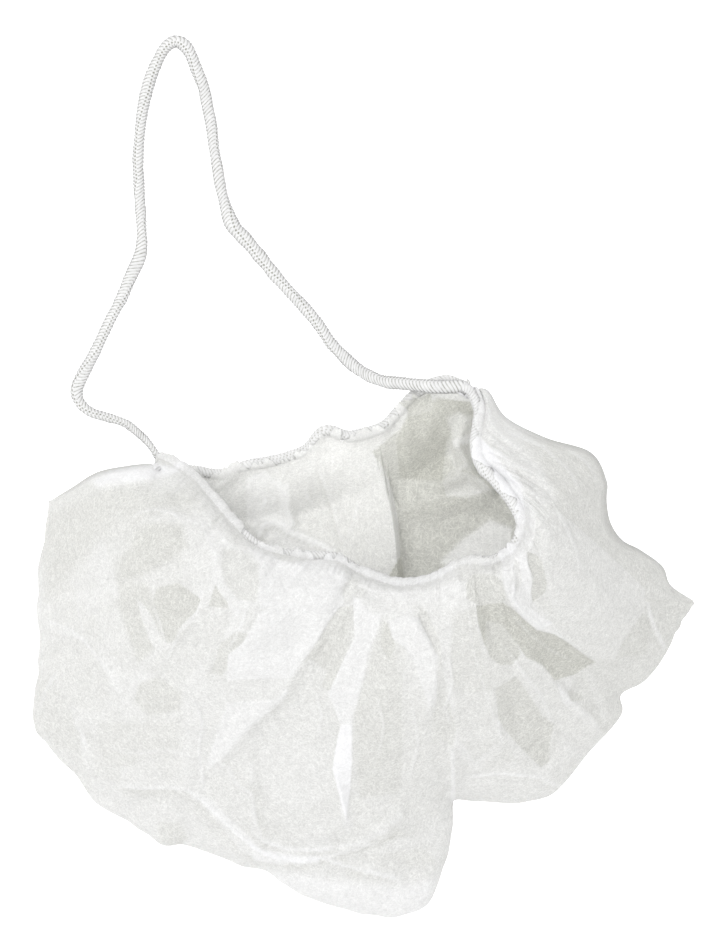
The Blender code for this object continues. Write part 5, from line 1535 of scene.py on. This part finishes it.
nonwoven = {
    "single": (0.71, 0.71, 0.66, 1),  # where one layer lies over shadow
    "plain": (0.81, 0.81, 0.795, 1),
    "double": (0.865, 0.865, 0.875, 1),  # where the cloth is pleated on itself
    "fibres": 2600,  # for each metre
    "clumps": 900,
    "fibreShade": 0.24,
    "fibreShares": (1.6, 0.4),  # how much of it shows where the cloth is single and where it is double
    "clumpShade": 0.12,
    "clumpRange": (0.3, 0.7),
    "lightest": 1.04,
    "glow": 0.2,  # share of the light that passes through
    "roughness": 0.8,
    "gloss": 0.25,
    "bump": (0.35, 0.0002),  # strength and depth in metres
    "crinkle": (0.5, 0.001),
    "edgeRange": (0.72, 1),  # how far it turns away, up to 1, where its painted shade starts and is darkest
    "edgeShade": 0.35,  # how much darker the painted shade makes it
}
# lighter colours for the back layer, seen inside the mouth: painted light that lifts the shade of the
# hollow
innerNonwovenLightened = {
    **nonwoven,
    "single": (0.75, 0.75, 0.695, 1),
    "plain": (0.905, 0.905, 0.885, 1),
    "double": (0.98, 0.98, 0.98, 1),
    "fibreShade": 0.22,
    "glow": 0.4,
}


def makeNonwoven(name, values, fibreGroup):
    material, tree, shader, web = startMaterial(name, values, fibreGroup)
    # the tone holds double cloth and random variation, and also painted light and shade of folds, creases,
    # gathers and hollows
    tone = addNode(tree, "ShaderNodeAttribute", {}, attribute_name="tone")["Fac"]
    colours = [(0, values["single"]), (0.5, values["plain"]), (1, values["double"])]
    tint = coloured(tree, stretched(tree, tone, -1, 1), colours)
    darkest = (1 - share * values["fibreShade"] for share in values["fibreShares"])
    darkest = stretched(tree, tone, -1, 1, *darkest)
    shade = stretched(tree, web["Fibres"], 0, 1, darkest, values["lightest"])
    mottle = calculated(tree, "ADD", web["Clumps"], web["Crinkles"])
    mottle = calculated(tree, "MULTIPLY", mottle, 0.5)
    cloud = stretched(tree, mottle, *values["clumpRange"], 1 - values["clumpShade"], values["lightest"])
    both = calculated(tree, "MULTIPLY", shade, cloud)
    edge = turnedAway(tree, *values["edgeRange"], values["edgeShade"])
    edged = calculated(tree, "MULTIPLY", both, edge)
    colour = addNode(tree, "ShaderNodeVectorMath", {0: tint, "Scale": edged}, operation="SCALE")["Vector"]
    tree.links.new(colour, shader.inputs["Base Color"])
    slack = bumped(tree, web["Crinkles"], *values["crinkle"])
    tree.links.new(bumped(tree, both, *values["bump"], slack), shader.inputs["Normal"])
    through = addNode(tree, "ShaderNodeBsdfTranslucent", {"Color": colour})["BSDF"]
    lit = {"Fac": values["glow"], 1: shader.outputs["BSDF"], 2: through}
    mixed = addNode(tree, "ShaderNodeMixShader", lit)["Shader"]
    tree.links.new(mixed, tree.nodes["Material Output"].inputs["Surface"])
    return material


yarn = {
    # the gap colour is painted shade in the gaps and holes between the stitches
    "gap": (0.22, 0.22, 0.17, 1),
    "top": (0.705, 0.705, 0.705, 1),
    "topStart": 0.55,  # height of a yarn from which it has its top's colour
    "fibres": 3500,  # for each metre
    "clumps": 700,
    "crinkleShade": (0.8, 1.05),  # darkest and lightest
    "roughness": 0.75,
    "gloss": 0.25,
    "bump": (0.4, 0.0001),
    "edgeRange": (0.25, 0.75),
    "edgeShade": 0.45,  # painted shade: how much darker the yarn looks where it turns away
}
# its gap colour too is painted shade between the stitches, lighter than the head loop's
mouthYarn = {**yarn, "gap": (0.4, 0.4, 0.36, 1), "top": (0.7, 0.7, 0.7, 1), "edgeShade": 0.1}


def makeYarn(name, values, fibreGroup):
    material, tree, shader, web = startMaterial(name, values, fibreGroup)
    height = addNode(tree, "ShaderNodeAttribute", {}, attribute_name="yarn")["Fac"]
    # painted shade: the gaps between the stitches take the dark gap colour
    tint = coloured(tree, height, [(0, values["gap"]), (values["topStart"], values["top"])])
    shade = stretched(tree, web["Crinkles"], 0, 1, *values["crinkleShade"])
    edge = turnedAway(tree, *values["edgeRange"], values["edgeShade"])
    both = calculated(tree, "MULTIPLY", shade, edge)
    colour = addNode(tree, "ShaderNodeVectorMath", {0: tint, "Scale": both}, operation="SCALE")["Vector"]
    tree.links.new(colour, shader.inputs["Base Color"])
    tree.links.new(bumped(tree, web["Fibres"], *values["bump"]), shader.inputs["Normal"])
    return material


fibreGroup = makeFibreGroup(fibres)
outside = makeNonwoven("nonwoven", nonwoven, fibreGroup)
inside = makeNonwoven("innerNonwovenLightened", innerNonwovenLightened, fibreGroup)
for piece, material in zip([*clothPieces, stitchedEndPiece], (outside, outside, inside, outside)):
    piece.data.materials.append(material)
headLoopPiece.data.materials.append(makeYarn("yarn", yarn, fibreGroup))
mouthRingPiece.data.materials.append(makeYarn("mouthYarn", mouthYarn, fibreGroup))
print("materials made")

# table and light
studio = {
    "tableSize": 3000,
    "tableColour": (0.95, 0.95, 0.95, 1),
    "tableRoughness": 0.9,
    "tableGlow": 0.4,
    "air": (1, 1, 1, 1),
    "ambient": 0.8,
    # name, where it stands, size, power in watts
    "lamps": [
        ("lampUpperLeft", (-900, 700, 1300), 900, 12),
        ("lampRight", (1100, 100, 1200), 1200, 3),
        ("lampFront", (-100, -1100, 1200), 1200, 7),
        ("lampAbove", (0, 0, 1900), 1500, 7),
    ],
}


def makeTable(values):
    half = values["tableSize"] / 2
    corners = np.array([(-half, -half, 0), (half, -half, 0), (half, half, 0), (-half, half, 0)])
    table = addMesh("table", corners, [(0, 1, 2, 3)])
    material = bpy.data.materials.new("paleTable")
    material.use_nodes = True
    shader = material.node_tree.nodes["Principled BSDF"]
    shader.inputs["Base Color"].default_value = values["tableColour"]
    shader.inputs["Roughness"].default_value = values["tableRoughness"]
    shader.inputs["Emission Color"].default_value = values["tableColour"]
    shader.inputs["Emission Strength"].default_value = values["tableGlow"]
    table.data.materials.append(material)


def makeLights(values):
    world = bpy.data.worlds.new("studioAir")
    world.use_nodes = True
    air = world.node_tree.nodes["Background"]
    air.inputs["Color"].default_value = values["air"]
    air.inputs["Strength"].default_value = values["ambient"]
    bpy.context.scene.world = world
    for name, place, size, power in values["lamps"]:
        data = bpy.data.lights.new(name, "AREA")
        data.shape = "DISK"
        data.size = size * mm
        data.energy = power
        lamp = bpy.data.objects.new(name, data)
        lamp.location = [v * mm for v in place]
        aim = -lamp.location.normalized()
        lamp.rotation_euler = aim.to_track_quat("-Z", "Y").to_euler()
        bpy.context.scene.collection.objects.link(lamp)
    bpy.context.scene.view_settings.view_transform = "Standard"


makeTable(studio)
makeLights(studio)
print("studio lit")
